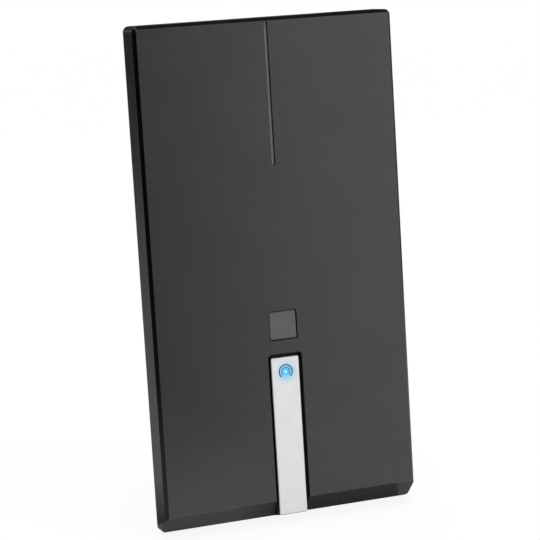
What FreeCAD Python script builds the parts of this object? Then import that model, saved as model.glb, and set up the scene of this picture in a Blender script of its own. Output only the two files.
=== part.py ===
import FreeCAD, Part
import math
import os
import Sketcher

# Amplified indoor TV antenna: a flat upright panel that leans back on a fold-out leg.
# The panel is drawn in its own frame: X to the right, Y up the panel, Z out of the front face.
# Depths are measured backwards from the front face, so a depth d lies at Z = -d.
# The leg is drawn in the same way round its hinge pin, and both are turned to stand on Z = 0.

SIZES = (
    # Outside form of the panel
    ("front_width", 150.0),
    ("front_height", 273.0),
    ("body_depth", 19.4),
    ("side_bevel", 1.8),
    ("bevel_depth", 2.5),
    ("chin_drop", 11.2),
    ("chin_depth", 11.6),
    ("chin_round", 0.8),
    ("front_corner", 1.2),
    ("outer_corner", 3.4),
    ("low_corner", 2.6),
    ("rear_edge_chamfer", 0.5),
    ("lean_angle", 9.6),
    # Walls and the seam between the two covers
    ("front_wall", 2.4),
    ("side_wall", 2.2),
    ("chin_wall", 3.0),
    ("rear_wall", 2.4),
    ("pan_wall", 1.8),
    ("rim_lip", 1.1),
    ("seam_gap", 0.15),
    # Silver strip, its carrier and their channel
    ("strip_width", 16.7),
    ("strip_thickness", 1.2),
    ("strip_sunk", 0.6),
    ("strip_hang", 8.8),
    ("strip_top_gap", 2.4),
    ("strip_corner", 0.9),
    ("strip_edge_chamfer", 0.3),
    ("channel_top", 85.1),
    ("channel_gap", 2.0),
    ("channel_depth", 4.4),
    ("channel_floor", 1.6),
    ("channel_wall", 1.8),
    ("channel_corner", 2.2),
    ("peg_size", 3.4),
    ("peg_gap", 0.1),
    ("peg_low", 14.0),
    ("peg_high", 52.0),
    # Badge plate and accent line on the front face
    ("badge_size", 15.8),
    ("badge_rise", 8.3),
    ("badge_recess", 1.1),
    ("badge_thickness", 0.5),
    ("badge_gap", 0.55),
    ("badge_corner", 0.6),
    ("accent_width", 1.7),
    ("accent_depth", 1.3),
    ("accent_thickness", 0.5),
    ("accent_gap", 0.05),
    ("accent_length", 80.0),
    ("accent_top_gap", 0.4),
    # Indicator light
    ("light_drop", 8.4),
    ("light_radius", 5.2),
    ("light_neck_radius", 3.2),
    ("light_gap", 0.1),
    ("led_width", 3.2),
    ("led_height", 1.6),
    ("led_thickness", 0.8),
    # Circuit board and what it carries
    ("board_depth", 7.2),
    ("board_thickness", 1.6),
    ("board_side_margin", 15.8),
    ("board_top_margin", 17.8),
    ("board_set_back", 3.5),
    ("post_size", 6.0),
    ("post_inset", 7.0),
    ("post_clear", 5.0),
    ("radiator_thickness", 0.4),
    ("radiator_length", 112.0),
    ("radiator_top_margin", 11.0),
    ("radiator_side_margin", 12.0),
    ("radiator_band", 11.0),
    ("radiator_split", 6.0),
    ("radiator_corner", 2.0),
    ("balun_width", 9.0),
    ("balun_length", 8.0),
    ("balun_height", 4.0),
    ("balun_drop", 12.0),
    ("balun_bore", 1.3),
    ("shield_width", 25.0),
    ("shield_length", 28.0),
    ("shield_height", 5.0),
    ("shield_sheet", 0.4),
    ("shield_gap", 7.9),
    ("shield_corner", 1.0),
    ("chip_size", 5.0),
    ("chip_height", 1.0),
    # Bay with the aerial and supply sockets
    ("bay_side_margin", 12.8),
    ("bay_width", 34.0),
    ("bay_low", 6.0),
    ("bay_high", 55.0),
    ("bay_depth", 4.8),
    ("bay_corner", 2.0),
    ("coax_place", 10.5),
    ("coax_radius", 4.76),
    ("coax_length", 9.0),
    ("coax_neck_radius", 4.3),
    ("coax_neck_length", 1.0),
    ("coax_block", 12.0),
    ("coax_block_length", 11.0),
    ("coax_axis_rise", 2.7),
    ("coax_root", 1.6),
    ("coax_lip", 1.2),
    ("coax_hole_gap", 0.3),
    ("insulator_sunk", 0.6),
    ("contact_radius", 1.1),
    ("contact_bore", 0.55),
    ("jack_place", 25.0),
    ("jack_width", 9.0),
    ("jack_length", 13.0),
    ("jack_bore", 3.05),
    ("jack_bore_length", 9.5),
    ("jack_hole_gap", 0.2),
    ("jack_pin_radius", 1.0),
    ("jack_pin_sunk", 1.0),
    ("jack_pin_root", 2.0),
    ("socket_rise", 7.6),
    ("socket_clear", 0.3),
    # Cover screws
    ("screw_inset", 10.8),
    ("screw_low_inset", 11.4),
    ("boss_radius", 3.6),
    ("screw_pad_radius", 5.0),
    ("screw_pad_depth", 3.0),
    ("screw_head_radius", 2.75),
    ("screw_head_height", 2.0),
    ("screw_radius", 1.3),
    ("screw_length", 9.0),
    ("screw_head_gap", 0.5),
    ("screw_floor", 1.8),
    ("screw_clear", 0.4),
    ("thread_gap", 0.03),
    # Fold-out leg, its hinge and its well
    ("hinge_height", 185.0),
    ("leg_width", 46.0),
    ("leg_thickness", 4.4),
    ("leg_skin", 1.7),
    ("leg_rib", 1.8),
    ("leg_rim", 3.0),
    ("leg_side_gap", 1.0),
    ("leg_open_angle", 15.2),
    ("leg_flush_gap", 0.3),
    ("barrel_radius", 2.4),
    ("barrel_gap", 0.5),
    ("heel_length", 7.0),
    ("heel_gap", 1.6),
    ("stop_gap", 0.08),
    ("pin_radius", 1.3),
    ("pin_run_gap", 0.05),
    ("pin_seat", 5.0),
    ("pin_seat_gap", 0.02),
    ("hinge_block", 5.0),
    ("well_corner", 2.0),
    ("pad_length", 7.0),
    ("tenon_length", 5.0),
    ("tenon_width", 28.0),
    ("tenon_thickness", 1.8),
    ("tenon_gap", 0.1),
    ("grip_width", 22.0),
    ("grip_depth", 0.7),
    ("grip_groove", 1.6),
    ("grip_pitch", 4.0),
    ("grip_rise", 10.0),
    # Rubber feet under the bottom edge
    ("foot_width", 26.0),
    ("foot_inset", 11.8),
    ("foot_front", 15.8),
    ("foot_rear", 18.8),
    ("foot_thin", 0.6),
)
LEG_RIB_ROWS = 5
LEG_RIB_COLUMNS = 2
GRIP_GROOVES = 4
# How far a cutting tool runs past the face that it opens
PAST = 1.0

doc = FreeCAD.newDocument("indoor_antenna")
sheet = doc.addObject("Spreadsheet::Sheet", "Sizes")
for row, (alias, number) in enumerate(SIZES, start=1):
    sheet.set(f"A{row}", alias)
    sheet.set(f"B{row}", str(number))
    sheet.setAlias(f"B{row}", alias)
doc.recompute()


class Size:
    """A size with its value and the formula over the sheet's cells that gives it."""

    def __init__(self, value, formula):
        self.value = value
        self.formula = formula

    @staticmethod
    def wrap(other):
        if isinstance(other, Size):
            return other
        return Size(float(other), f"({float(other)})")

    def join(self, sign, other, value):
        return Size(value, f"({self.formula} {sign} {other.formula})")

    def __add__(self, other):
        other = Size.wrap(other)
        return self.join("+", other, self.value + other.value)

    def __sub__(self, other):
        other = Size.wrap(other)
        return self.join("-", other, self.value - other.value)

    def __mul__(self, other):
        other = Size.wrap(other)
        return self.join("*", other, self.value * other.value)

    def __truediv__(self, other):
        other = Size.wrap(other)
        return self.join("/", other, self.value / other.value)

    def __neg__(self):
        return Size(-self.value, f"(-1 * {self.formula})")

    def __radd__(self, other):
        return Size.wrap(other) + self

    def __rsub__(self, other):
        return Size.wrap(other) - self

    def __rmul__(self, other):
        return Size.wrap(other) * self


def sine(angle):
    return Size(math.sin(math.radians(angle.value)), f"sin({angle.formula})")


def cosine(angle):
    return Size(math.cos(math.radians(angle.value)), f"cos({angle.formula})")


class Cells:
    """Every cell of the sheet as a Size, by its alias."""

    def __getattr__(self, alias):
        return Size(float(getattr(sheet, alias)), f"Sizes.{alias}")


s = Cells()


def bind(target, path, size):
    """Tie a property of an object to a formula over the sheet."""
    target.setExpression(path, Size.wrap(size).formula)


def place(target, x, y, depth):
    """Set an object's base point: x, height up the panel, depth behind the front face."""
    bind(target, "Placement.Base.x", x)
    bind(target, "Placement.Base.y", y)
    bind(target, "Placement.Base.z", -Size.wrap(depth))


def new_body(name):
    return doc.addObject("PartDesign::Body", name)


def plane_sketch(body, name, role, level):
    """An empty sketch on one of the body's own origin planes, moved along its normal by level."""
    sketch = body.newObject("Sketcher::SketchObject", name)
    plane = [item for item in body.Origin.OriginFeatures if item.Role == role][0]
    sketch.AttachmentSupport = [(plane, "")]
    sketch.MapMode = "FlatFace"
    bind(sketch, "AttachmentOffset.Base.z", level)
    return sketch


def fix_point(sketch, geometry, end, axis, size):
    """Hold one end of a line at a signed distance from the sketch's origin."""
    index = sketch.addConstraint(
        Sketcher.Constraint(f"Distance{axis}", -1, 1, geometry, end, size.value)
    )
    bind(sketch, f"Constraints[{index}]", size)


def rounded_outline(body, name, left, right, low, high, radius, depth, low_radius=None):
    """A rounded rectangle parallel to the front face, at a depth behind it."""
    left, right, low, high, radius, depth = map(Size.wrap, (left, right, low, high, radius, depth))
    low_radius = radius if low_radius is None else low_radius
    sketch = plane_sketch(body, name, "XY_Plane", -depth)
    x0, x1, y0, y1 = left.value, right.value, low.value, high.value
    r, r_low = radius.value, low_radius.value

    def line(xa, ya, xb, yb):
        return Part.LineSegment(FreeCAD.Vector(xa, ya, 0), FreeCAD.Vector(xb, yb, 0))

    def corner(x, y, quarter, reach):
        circle = Part.Circle(FreeCAD.Vector(x, y, 0), FreeCAD.Vector(0, 0, 1), reach)
        start = (quarter - 1) * math.pi / 2
        return Part.ArcOfCircle(circle, start, start + math.pi / 2)

    sketch.addGeometry([
        line(x0 + r_low, y0, x1 - r_low, y0),
        corner(x1 - r_low, y0 + r_low, 0, r_low),
        line(x1, y0 + r_low, x1, y1 - r),
        corner(x1 - r, y1 - r, 1, r),
        line(x1 - r, y1, x0 + r, y1),
        corner(x0 + r, y1 - r, 2, r),
        line(x0, y1 - r, x0, y0 + r_low),
        corner(x0 + r_low, y0 + r_low, 3, r_low),
    ])
    for edge in range(8):
        sketch.addConstraint(Sketcher.Constraint("Tangent", edge, 2, (edge + 1) % 8, 1))
    for edge in (0, 4):
        sketch.addConstraint(Sketcher.Constraint("Horizontal", edge))
    for edge in (2, 6):
        sketch.addConstraint(Sketcher.Constraint("Vertical", edge))
    for arc, other, size in ((1, 7, low_radius), (3, 5, radius)):
        sketch.addConstraint(Sketcher.Constraint("Equal", arc, other))
        index = sketch.addConstraint(Sketcher.Constraint("Radius", arc, size.value))
        bind(sketch, f"Constraints[{index}]", size)
    fix_point(sketch, 6, 1, "X", left)
    fix_point(sketch, 2, 1, "X", right)
    fix_point(sketch, 0, 1, "Y", low)
    fix_point(sketch, 4, 1, "Y", high)
    return sketch


def side_outline(body, name, points):
    """A closed polygon seen from the side: each point is a height and a depth."""
    points = [(Size.wrap(height), -Size.wrap(depth)) for height, depth in points]
    sketch = plane_sketch(body, name, "YZ_Plane", 0)
    corners = [FreeCAD.Vector(y.value, z.value, 0) for y, z in points]
    count = len(corners)
    for edge in range(count):
        sketch.addGeometry(Part.LineSegment(corners[edge], corners[(edge + 1) % count]))
    for edge in range(count):
        sketch.addConstraint(Sketcher.Constraint("Coincident", edge, 2, (edge + 1) % count, 1))
    for edge, (y, z) in enumerate(points):
        fix_point(sketch, edge, 1, "X", y)
        fix_point(sketch, edge, 1, "Y", z)
    return sketch


def pad_feature(body, name, sketch, length):
    pad = body.newObject("PartDesign::Pad", name)
    pad.Profile = sketch
    bind(pad, "Length", length)
    return pad


def rounded_block(name, left, right, low, high, near, far, radius):
    """A block with rounded upright edges, from the depth near to the depth far."""
    body = new_body(name)
    outline = rounded_outline(body, f"{name}_outline", left, right, low, high, radius, far)
    pad_feature(body, f"{name}_pad", outline, Size.wrap(far) - near)
    return body


def side_prism(name, points, left, right):
    """A prism across the panel with the given side outline."""
    body = new_body(name)
    outline = side_outline(body, f"{name}_outline", points)
    bind(outline, "AttachmentOffset.Base.z", left)
    pad_feature(body, f"{name}_pad", outline, Size.wrap(right) - left)
    return body


def chamfer_edges(body, name, depth, size):
    """Break the edges of a body that lie at one depth."""
    doc.recompute()
    tip = body.Tip
    level = -Size.wrap(depth).value
    edges = [
        f"Edge{number}"
        for number, edge in enumerate(tip.Shape.Edges, start=1)
        if abs(edge.BoundBox.ZMin - level) < 1e-6 and abs(edge.BoundBox.ZMax - level) < 1e-6
    ]
    chamfer = body.newObject("PartDesign::Chamfer", name)
    chamfer.Base = (tip, edges)
    bind(chamfer, "Size", size)
    return body


def box(name, left, right, low, high, near, far):
    block = doc.addObject("Part::Box", name)
    place(block, left, low, far)
    bind(block, "Length", Size.wrap(right) - left)
    bind(block, "Width", Size.wrap(high) - low)
    bind(block, "Height", Size.wrap(far) - near)
    return block


def cylinder(name, radius, length):
    rod = doc.addObject("Part::Cylinder", name)
    bind(rod, "Radius", radius)
    bind(rod, "Height", length)
    return rod


def depth_rod(name, radius, x, y, near, far):
    """A rod square to the front face."""
    rod = cylinder(name, radius, Size.wrap(far) - near)
    place(rod, x, y, far)
    return rod


def cross_rod(name, radius, y, depth, left, right):
    """A rod across the panel."""
    rod = cylinder(name, radius, Size.wrap(right) - left)
    rod.Placement.Rotation = FreeCAD.Rotation(FreeCAD.Vector(0, 1, 0), 90)
    place(rod, left, y, depth)
    return rod


def upright_rod(name, radius, x, depth, low, high):
    """A rod up the panel."""
    rod = cylinder(name, radius, Size.wrap(high) - low)
    rod.Placement.Rotation = FreeCAD.Rotation(FreeCAD.Vector(1, 0, 0), -90)
    place(rod, x, low, depth)
    return rod


def fuse(name, pieces):
    joined = doc.addObject("Part::MultiFuse", name)
    joined.Shapes = pieces
    joined.Refine = True
    return joined


def cut(name, base, tools):
    """What is left of a solid once the tools are taken away."""
    result = doc.addObject("Part::Cut", name)
    result.Base = base
    result.Tool = tools[0] if len(tools) == 1 else fuse(f"{name}_tools", tools)
    result.Refine = True
    return result


def group(name, pieces):
    """Like pieces that share one node and stay separate solids."""
    gathered = doc.addObject("Part::Compound", name)
    gathered.Links = pieces
    return gathered


# Places that several pieces share
half_out = s.front_width / 2 + s.side_bevel
top_out = s.front_height + s.side_bevel
bottom_out = -s.chin_drop
rear_inside = s.body_depth - s.rear_wall
channel_half = s.strip_width / 2 + s.channel_gap
strip_half = s.strip_width / 2
strip_back = s.strip_sunk + s.strip_thickness
strip_low = -s.strip_hang
strip_high = s.channel_top - s.strip_top_gap
channel_inside = s.channel_depth + s.channel_floor
light_height = strip_high - s.light_drop
badge_middle = s.channel_top + s.badge_rise + s.badge_size / 2
accent_high = s.front_height - s.accent_top_gap
board_back = s.board_depth + s.board_thickness
board_half = half_out - s.board_side_margin
board_high = top_out - s.board_top_margin
bay_right = half_out - s.bay_side_margin
bay_left = bay_right - s.bay_width
socket_plane = s.bay_high + s.pan_wall + s.socket_clear
board_low = socket_plane + s.board_set_back
shield_low = socket_plane + s.coax_block_length + s.shield_gap
radiator_high = board_high - s.radiator_top_margin
radiator_low = radiator_high - s.radiator_length
coax_axis = board_back + s.coax_axis_rise
jack_axis = board_back + s.socket_rise / 2
screw_pad_near = rear_inside - s.screw_pad_depth
screw_seat = screw_pad_near + s.screw_floor

# Hinge of the leg, and the stance that its open angle gives
hinge_depth = s.body_depth - s.leg_flush_gap - s.barrel_radius
well_floor = hinge_depth - s.barrel_radius - s.barrel_gap
well_half = s.leg_width / 2 + s.leg_side_gap
pan_half = well_half + s.pan_wall
well_top = s.hinge_height + s.heel_length + s.heel_gap
pin_half = well_half + s.pin_seat
leg_slant = s.leg_open_angle - s.lean_angle
base_rise = (s.chin_drop + s.foot_thin) * cosine(s.lean_angle) + s.foot_rear * sine(s.lean_angle)
hinge_rise = s.hinge_height * cosine(s.lean_angle) - hinge_depth * sine(s.lean_angle) + base_rise
hinge_back = s.hinge_height * sine(s.lean_angle) + hinge_depth * cosine(s.lean_angle)


def sole(depth_from_pin):
    """Height below the pin, along the leg, where it meets the ground."""
    return -(hinge_rise + depth_from_pin * sine(leg_slant)) / cosine(leg_slant)


# The origin is under the middle of the part: the strip's lower end is foremost, the leg's tip rearmost
foremost = s.strip_sunk * cosine(s.lean_angle) + strip_low * sine(s.lean_angle)
tip_low = sole(s.barrel_radius)
rearmost = hinge_back - tip_low * sine(leg_slant) + s.barrel_radius * cosine(leg_slant)
base_back = -(foremost + rearmost) / 2

nodes = []


def finish(name, piece, turn, back, rise):
    piece.Label = name
    piece.Placement.Rotation = FreeCAD.Rotation(FreeCAD.Vector(1, 0, 0), turn.value)
    bind(piece, "Placement.Rotation.Angle", turn)
    bind(piece, "Placement.Base.y", back)
    bind(piece, "Placement.Base.z", rise)
    nodes.append(piece)


def panel_node(name, piece):
    """A finished piece of the leaning panel."""
    finish(name, piece, 90 - s.lean_angle, base_back, base_rise)


def leg_node(name, piece):
    """A finished piece of the open leg."""
    finish(name, piece, 90 + leg_slant, base_back + hinge_back, hinge_rise)


def screw_places():
    return [
        (side * (half_out - s.screw_inset), height)
        for height in (bottom_out + s.screw_low_inset, top_out - s.screw_inset)
        for side in (-1, 1)
    ]


def post_boxes(name, near, far):
    """Square posts that clamp the board near its corners, from the depth near to the depth far."""
    half = s.post_size / 2
    low = shield_low + s.shield_length + s.post_clear + half
    high = board_high - s.post_inset
    posts = []
    for number, (side, y) in enumerate(((-1, low), (1, low), (-1, high), (1, high))):
        x = side * (board_half - s.post_inset)
        posts.append(box(f"{name}_{number}", x - half, x + half, y - half, y + half, near, far))
    return posts


def cover_form():
    """Outside of the housing before the chin is cut: front face, bevel on three sides, straight walls."""
    body = new_body("cover_form")
    face = rounded_outline(
        body, "face_outline", -s.front_width / 2, s.front_width / 2,
        bottom_out, s.front_height, s.front_corner, 0
    )
    rim = rounded_outline(
        body, "rim_outline", -half_out, half_out, bottom_out, top_out,
        s.outer_corner, s.bevel_depth, s.low_corner
    )
    bevel = body.newObject("PartDesign::AdditiveLoft", "bevel")
    bevel.Profile = face
    bevel.Sections = [rim]
    bevel.Ruled = True
    walls = pad_feature(body, "walls", rim, s.body_depth - s.bevel_depth)
    walls.Reversed = True
    return chamfer_edges(body, "rear_chamfer", s.body_depth, s.rear_edge_chamfer)


def cover_space():
    """Space inside the housing before the chin's wall is kept; it follows the bevel one wall behind."""
    body = new_body("cover_space")
    side = s.side_wall
    face = rounded_outline(
        body, "space_face", side - s.front_width / 2, s.front_width / 2 - side,
        bottom_out + side, s.front_height - side, s.front_corner, s.front_wall
    )
    level = s.front_wall + s.bevel_depth
    rim = rounded_outline(
        body, "space_rim", side - half_out, half_out - side,
        bottom_out + side, top_out - side, s.front_corner, level
    )
    bevel = body.newObject("PartDesign::AdditiveLoft", "space_bevel")
    bevel.Profile = face
    bevel.Sections = [rim]
    bevel.Ruled = True
    walls = pad_feature(body, "space_walls", rim, s.body_depth + PAST - level)
    walls.Reversed = True
    return body


def chin_tool():
    """Everything in front of the slanting chin, which runs from the front face down to the underside."""
    slope = s.chin_depth / s.chin_drop
    low = bottom_out - PAST
    return side_prism("chin_tool", (
        (PAST, -slope * PAST),
        (low, s.chin_depth + slope * PAST),
        (low, -slope * PAST),
    ), -half_out - PAST, half_out + PAST)


def chin_round_tools():
    """What rounds the two slanting edges between the chin and the side walls."""
    slant = Size(
        180 - math.degrees(math.atan2(s.chin_drop.value, s.chin_depth.value)),
        "(180 deg - atan2(Sizes.chin_drop; Sizes.chin_depth))"
    )
    reach = s.chin_depth
    height = s.chin_round * -cosine(slant) + reach * sine(slant)
    depth = s.chin_round * sine(slant) + reach * cosine(slant)
    tools = []
    for name, side in (("left", -1), ("right", 1)):
        middle = side * (half_out - s.chin_round)
        bar = doc.addObject("Part::Box", f"chin_bar_{name}")
        bind(bar, "Length", s.chin_round + PAST)
        bind(bar, "Width", s.chin_round + PAST)
        bind(bar, "Height", 3 * reach)
        rod = cylinder(f"chin_rod_{name}", s.chin_round, 3 * reach)
        for piece, x in ((bar, middle - s.chin_round - PAST if side < 0 else middle), (rod, middle)):
            piece.Placement.Rotation = FreeCAD.Rotation(FreeCAD.Vector(1, 0, 0), slant.value)
            bind(piece, "Placement.Rotation.Angle", slant)
            place(piece, x, height, depth)
        tools.append(cut(f"chin_round_{name}", bar, [rod]))
    return tools


def chin_backing():
    """Wall behind the chin, as far as the space inside reaches."""
    far = s.chin_depth + (s.chin_wall - s.side_wall) * s.chin_depth / s.chin_drop
    return side_prism("chin_backing", (
        (s.chin_wall, 0),
        (bottom_out + s.side_wall, far),
        (bottom_out, far),
        (bottom_out, 0),
    ), -half_out, half_out)


def pegs(name, half, far):
    """Square pegs behind the strip's carrier, or with more size the holes that take them."""
    return [
        box(f"{name}_{end}", -half, half, y - half, y + half, s.channel_depth - PAST, far)
        for end, y in (("low", s.peg_low), ("high", s.peg_high))
    ]


def front_cover():
    kept = [chin_backing(), box(
        "channel_box", -channel_half - s.channel_wall, channel_half + s.channel_wall,
        bottom_out, s.channel_top + s.channel_wall, 0, channel_inside
    )]
    for number, (x, y) in enumerate(screw_places()):
        kept.append(depth_rod(f"boss_{number}", s.boss_radius, x, y, 0, screw_pad_near))
    kept += post_boxes("front_post", 0, s.board_depth)
    hollow = cut("hollow", cover_space(), kept)

    badge_half = s.badge_size / 2 + s.badge_gap
    tools = [
        hollow,
        chin_tool(),
        *chin_round_tools(),
        rounded_block(
            "channel", -channel_half, channel_half, bottom_out - s.channel_corner - PAST, s.channel_top,
            -PAST, s.channel_depth, s.channel_corner
        ),
        rounded_block(
            "badge_recess_space", -badge_half, badge_half,
            badge_middle - badge_half, badge_middle + badge_half,
            -PAST, s.badge_recess, s.badge_corner + s.badge_gap
        ),
        rounded_block(
            "accent_groove", -s.accent_width / 2, s.accent_width / 2,
            accent_high - s.accent_length, accent_high,
            -PAST, s.accent_depth, s.accent_width * 0.45
        ),
        rounded_block(
            "rear_rebate", s.rim_lip - half_out, half_out - s.rim_lip,
            bottom_out + s.rim_lip, top_out - s.rim_lip,
            rear_inside, s.body_depth + PAST, s.outer_corner - s.rim_lip
        ),
        box(
            "leg_notch", -pan_half - s.seam_gap, pan_half + s.seam_gap,
            bottom_out - PAST, bottom_out + s.side_wall + PAST,
            well_floor - s.pan_wall - s.seam_gap, s.body_depth + PAST
        ),
        depth_rod(
            "light_hole", s.light_neck_radius + s.light_gap, 0, light_height,
            s.channel_depth - PAST, channel_inside + PAST
        ),
    ]
    tools += pegs("peg_hole", s.peg_size / 2 + s.peg_gap, channel_inside + PAST)
    for number, (x, y) in enumerate(screw_places()):
        tools.append(depth_rod(
            f"boss_hole_{number}", s.screw_radius, x, y,
            screw_seat - s.screw_floor - s.screw_length + s.screw_clear, screw_pad_near + PAST
        ))
    panel_node("front_cover", cut("front_cover", cover_form(), tools))


def rear_cover():
    edge = s.rim_lip + s.seam_gap
    solid = [
        rounded_block(
            "rear_plate", edge - half_out, half_out - edge, bottom_out + edge, top_out - edge,
            rear_inside, s.body_depth, s.outer_corner - edge
        ),
        box(
            "well_pan", -pan_half, pan_half, bottom_out, well_top + s.pan_wall,
            well_floor - s.pan_wall, s.body_depth
        ),
        rounded_block(
            "bay_pan", bay_left - s.pan_wall, bay_right + s.pan_wall,
            s.bay_low - s.pan_wall, s.bay_high + s.pan_wall,
            s.bay_depth - s.pan_wall, s.body_depth, s.bay_corner + s.pan_wall
        ),
    ]
    seat = pin_half + s.pan_wall
    for name, left, right in (("hinge_left", -seat, -well_half), ("hinge_right", well_half, seat)):
        solid.append(box(
            name, left, right, s.hinge_height - s.hinge_block, s.hinge_height + s.hinge_block,
            well_floor - s.pan_wall, s.body_depth - s.rear_wall / 2
        ))
    for number, (x, y) in enumerate(screw_places()):
        solid.append(depth_rod(
            f"screw_pad_{number}", s.screw_pad_radius, x, y, screw_pad_near, s.body_depth - s.rear_wall / 2
        ))
    solid += post_boxes("rear_post", board_back, s.body_depth - s.rear_wall / 2)

    tools = [
        rounded_block(
            "well", -well_half, well_half, bottom_out - s.well_corner - PAST, well_top,
            well_floor, s.body_depth + PAST, s.well_corner
        ),
        rounded_block(
            "bay", bay_left, bay_right, s.bay_low, s.bay_high,
            s.bay_depth, s.body_depth + PAST, s.bay_corner
        ),
        cross_rod(
            "pin_seat_bore", s.pin_radius + s.pin_seat_gap, s.hinge_height, hinge_depth, -pin_half, pin_half
        ),
        upright_rod(
            "coax_hole", s.coax_radius + s.coax_hole_gap, bay_left + s.coax_place, coax_axis,
            s.bay_high - PAST, s.bay_high + s.pan_wall + PAST
        ),
        box(
            "jack_hole", bay_left + s.jack_place - s.jack_width / 2 - s.jack_hole_gap,
            bay_left + s.jack_place + s.jack_width / 2 + s.jack_hole_gap,
            s.bay_high - PAST, s.bay_high + s.pan_wall + PAST,
            board_back - s.jack_hole_gap, board_back + s.socket_rise + s.jack_hole_gap
        ),
    ]
    for number, (x, y) in enumerate(screw_places()):
        tools.append(depth_rod(
            f"screw_hole_{number}", s.screw_radius + s.screw_clear, x, y,
            screw_pad_near - PAST, screw_seat + PAST
        ))
        tools.append(depth_rod(
            f"screw_pocket_{number}", s.screw_head_radius + s.screw_head_gap, x, y,
            screw_seat, s.body_depth + PAST
        ))
    panel_node("rear_cover", cut("rear_cover", fuse("rear_solid", solid), tools))


def trim_strip():
    strip = rounded_block(
        "trim_strip", -strip_half, strip_half, strip_low, strip_high, s.strip_sunk, strip_back, s.strip_corner
    )
    panel_node("trim_strip", chamfer_edges(strip, "strip_chamfer", s.strip_sunk, s.strip_edge_chamfer))


def strip_carrier():
    """Bar under the strip with a wedge down to the chin, a window for the light and two pegs."""
    bar = rounded_block(
        "carrier_bar", -strip_half, strip_half, strip_low, strip_high,
        strip_back, s.channel_depth, s.strip_corner
    )
    window = depth_rod(
        "light_window", s.light_radius + s.light_gap, 0, light_height,
        strip_back - PAST, s.channel_depth + PAST
    )
    meet = -s.channel_depth * s.chin_drop / s.chin_depth
    wedge = side_prism("carrier_wedge", (
        (strip_low, strip_back),
        (meet, strip_back),
        (meet, s.channel_depth),
        (bottom_out, s.chin_depth),
    ), -strip_half, strip_half)
    solid = fuse("carrier_solid", [bar, wedge] + pegs("peg", s.peg_size / 2, channel_inside))
    panel_node("strip_carrier", cut("strip_carrier", solid, [window]))


def light_pieces():
    """Clear guide behind the strip and the lamp that shines into it."""
    head = depth_rod("light_head", s.light_radius, 0, light_height, strip_back, s.channel_depth)
    neck = depth_rod(
        "light_neck", s.light_neck_radius, 0, light_height,
        s.channel_depth - PAST, s.board_depth - s.led_thickness - s.light_gap
    )
    panel_node("light_guide", fuse("light_guide", [head, neck]))
    lamp = box(
        "lamp_block", -s.led_width / 2, s.led_width / 2,
        light_height - s.led_height / 2, light_height + s.led_height / 2,
        s.board_depth - s.led_thickness, s.board_depth
    )
    panel_node("indicator_led", group("indicator_led", [lamp]))


def front_trim():
    """Badge plate and accent line, each on the floor of its recess."""
    half = s.badge_size / 2
    panel_node("badge_plate", rounded_block(
        "badge_plate", -half, half, badge_middle - half, badge_middle + half,
        s.badge_recess - s.badge_thickness, s.badge_recess, s.badge_corner
    ))
    width = s.accent_width / 2 - s.accent_gap
    panel_node("accent_inlay", rounded_block(
        "accent_inlay", -width, width,
        accent_high - s.accent_length + s.accent_gap, accent_high - s.accent_gap,
        s.accent_depth - s.accent_thickness, s.accent_depth, width * 0.9
    ))


def circuit_board():
    plate = box("board_plate", -board_half, board_half, board_low, board_high, s.board_depth, board_back)
    panel_node("antenna_board", group("antenna_board", [plate]))


def radiators():
    """Two sheet loops side by side, each open at the inner lower corner where it is fed."""
    near = s.board_depth - s.radiator_thickness
    half_split = s.radiator_split / 2
    radiator_reach = board_half - s.radiator_side_margin
    window_high = radiator_high - s.radiator_band
    window_low = radiator_low + s.radiator_band
    for name, side in (("radiator_left", -1), ("radiator_right", 1)):
        inner = side * half_split
        outer = side * radiator_reach
        inner_window = side * (half_split + s.radiator_band)
        outer_window = side * (radiator_reach - s.radiator_band)
        left, right = (outer, inner) if side < 0 else (inner, outer)
        window = (outer_window, inner_window) if side < 0 else (inner_window, outer_window)
        gap = (inner_window, inner) if side < 0 else (inner, inner_window)
        loop = rounded_block(
            f"{name}_loop", left, right, radiator_low, radiator_high,
            near, s.board_depth, s.radiator_corner
        )
        opening = rounded_block(
            f"{name}_window", window[0], window[1], window_low, window_high,
            near - PAST, s.board_depth + PAST, s.radiator_corner
        )
        feed_gap = box(
            f"{name}_gap", gap[0] - PAST, gap[1] + PAST, window_low, window_low + s.radiator_split,
            near - PAST, s.board_depth + PAST
        )
        panel_node(name, cut(name, loop, [opening, feed_gap]))


def balun():
    """Ferrite core with two bores, between the feed ends and the amplifier."""
    half = s.balun_width / 2
    middle = radiator_low - s.balun_drop
    low = middle - s.balun_length / 2
    high = middle + s.balun_length / 2
    near = s.board_depth - s.balun_height
    core = box("balun_block", -half, half, low, high, near, s.board_depth)
    bores = [
        upright_rod(
            name, s.balun_bore, side * s.balun_width / 4, near + s.balun_height / 2, low - PAST, high + PAST
        )
        for name, side in (("balun_bore_left", -1), ("balun_bore_right", 1))
    ]
    panel_node("balun_core", cut("balun_core", core, bores))


def amplifier():
    """Drawn tin can over the amplifier chip, on the back of the board."""
    middle = bay_left + s.bay_width / 2
    half = s.shield_width / 2
    high = shield_low + s.shield_length
    far = board_back + s.shield_height
    can = rounded_block(
        "shield_can", middle - half, middle + half, shield_low, high, board_back, far, s.shield_corner
    )
    sheet_metal = s.shield_sheet
    inside = rounded_block(
        "shield_space", middle - half + sheet_metal, middle + half - sheet_metal,
        shield_low + sheet_metal, high - sheet_metal,
        board_back - PAST, far - sheet_metal, s.shield_corner - sheet_metal
    )
    panel_node("amplifier_shield", cut("amplifier_shield", can, [inside]))
    chip_middle = shield_low + s.shield_length / 2
    chip = box(
        "chip_block", middle - s.chip_size / 2, middle + s.chip_size / 2,
        chip_middle - s.chip_size / 2, chip_middle + s.chip_size / 2,
        board_back, board_back + s.chip_height
    )
    panel_node("amplifier_chip", group("amplifier_chip", [chip]))


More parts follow.
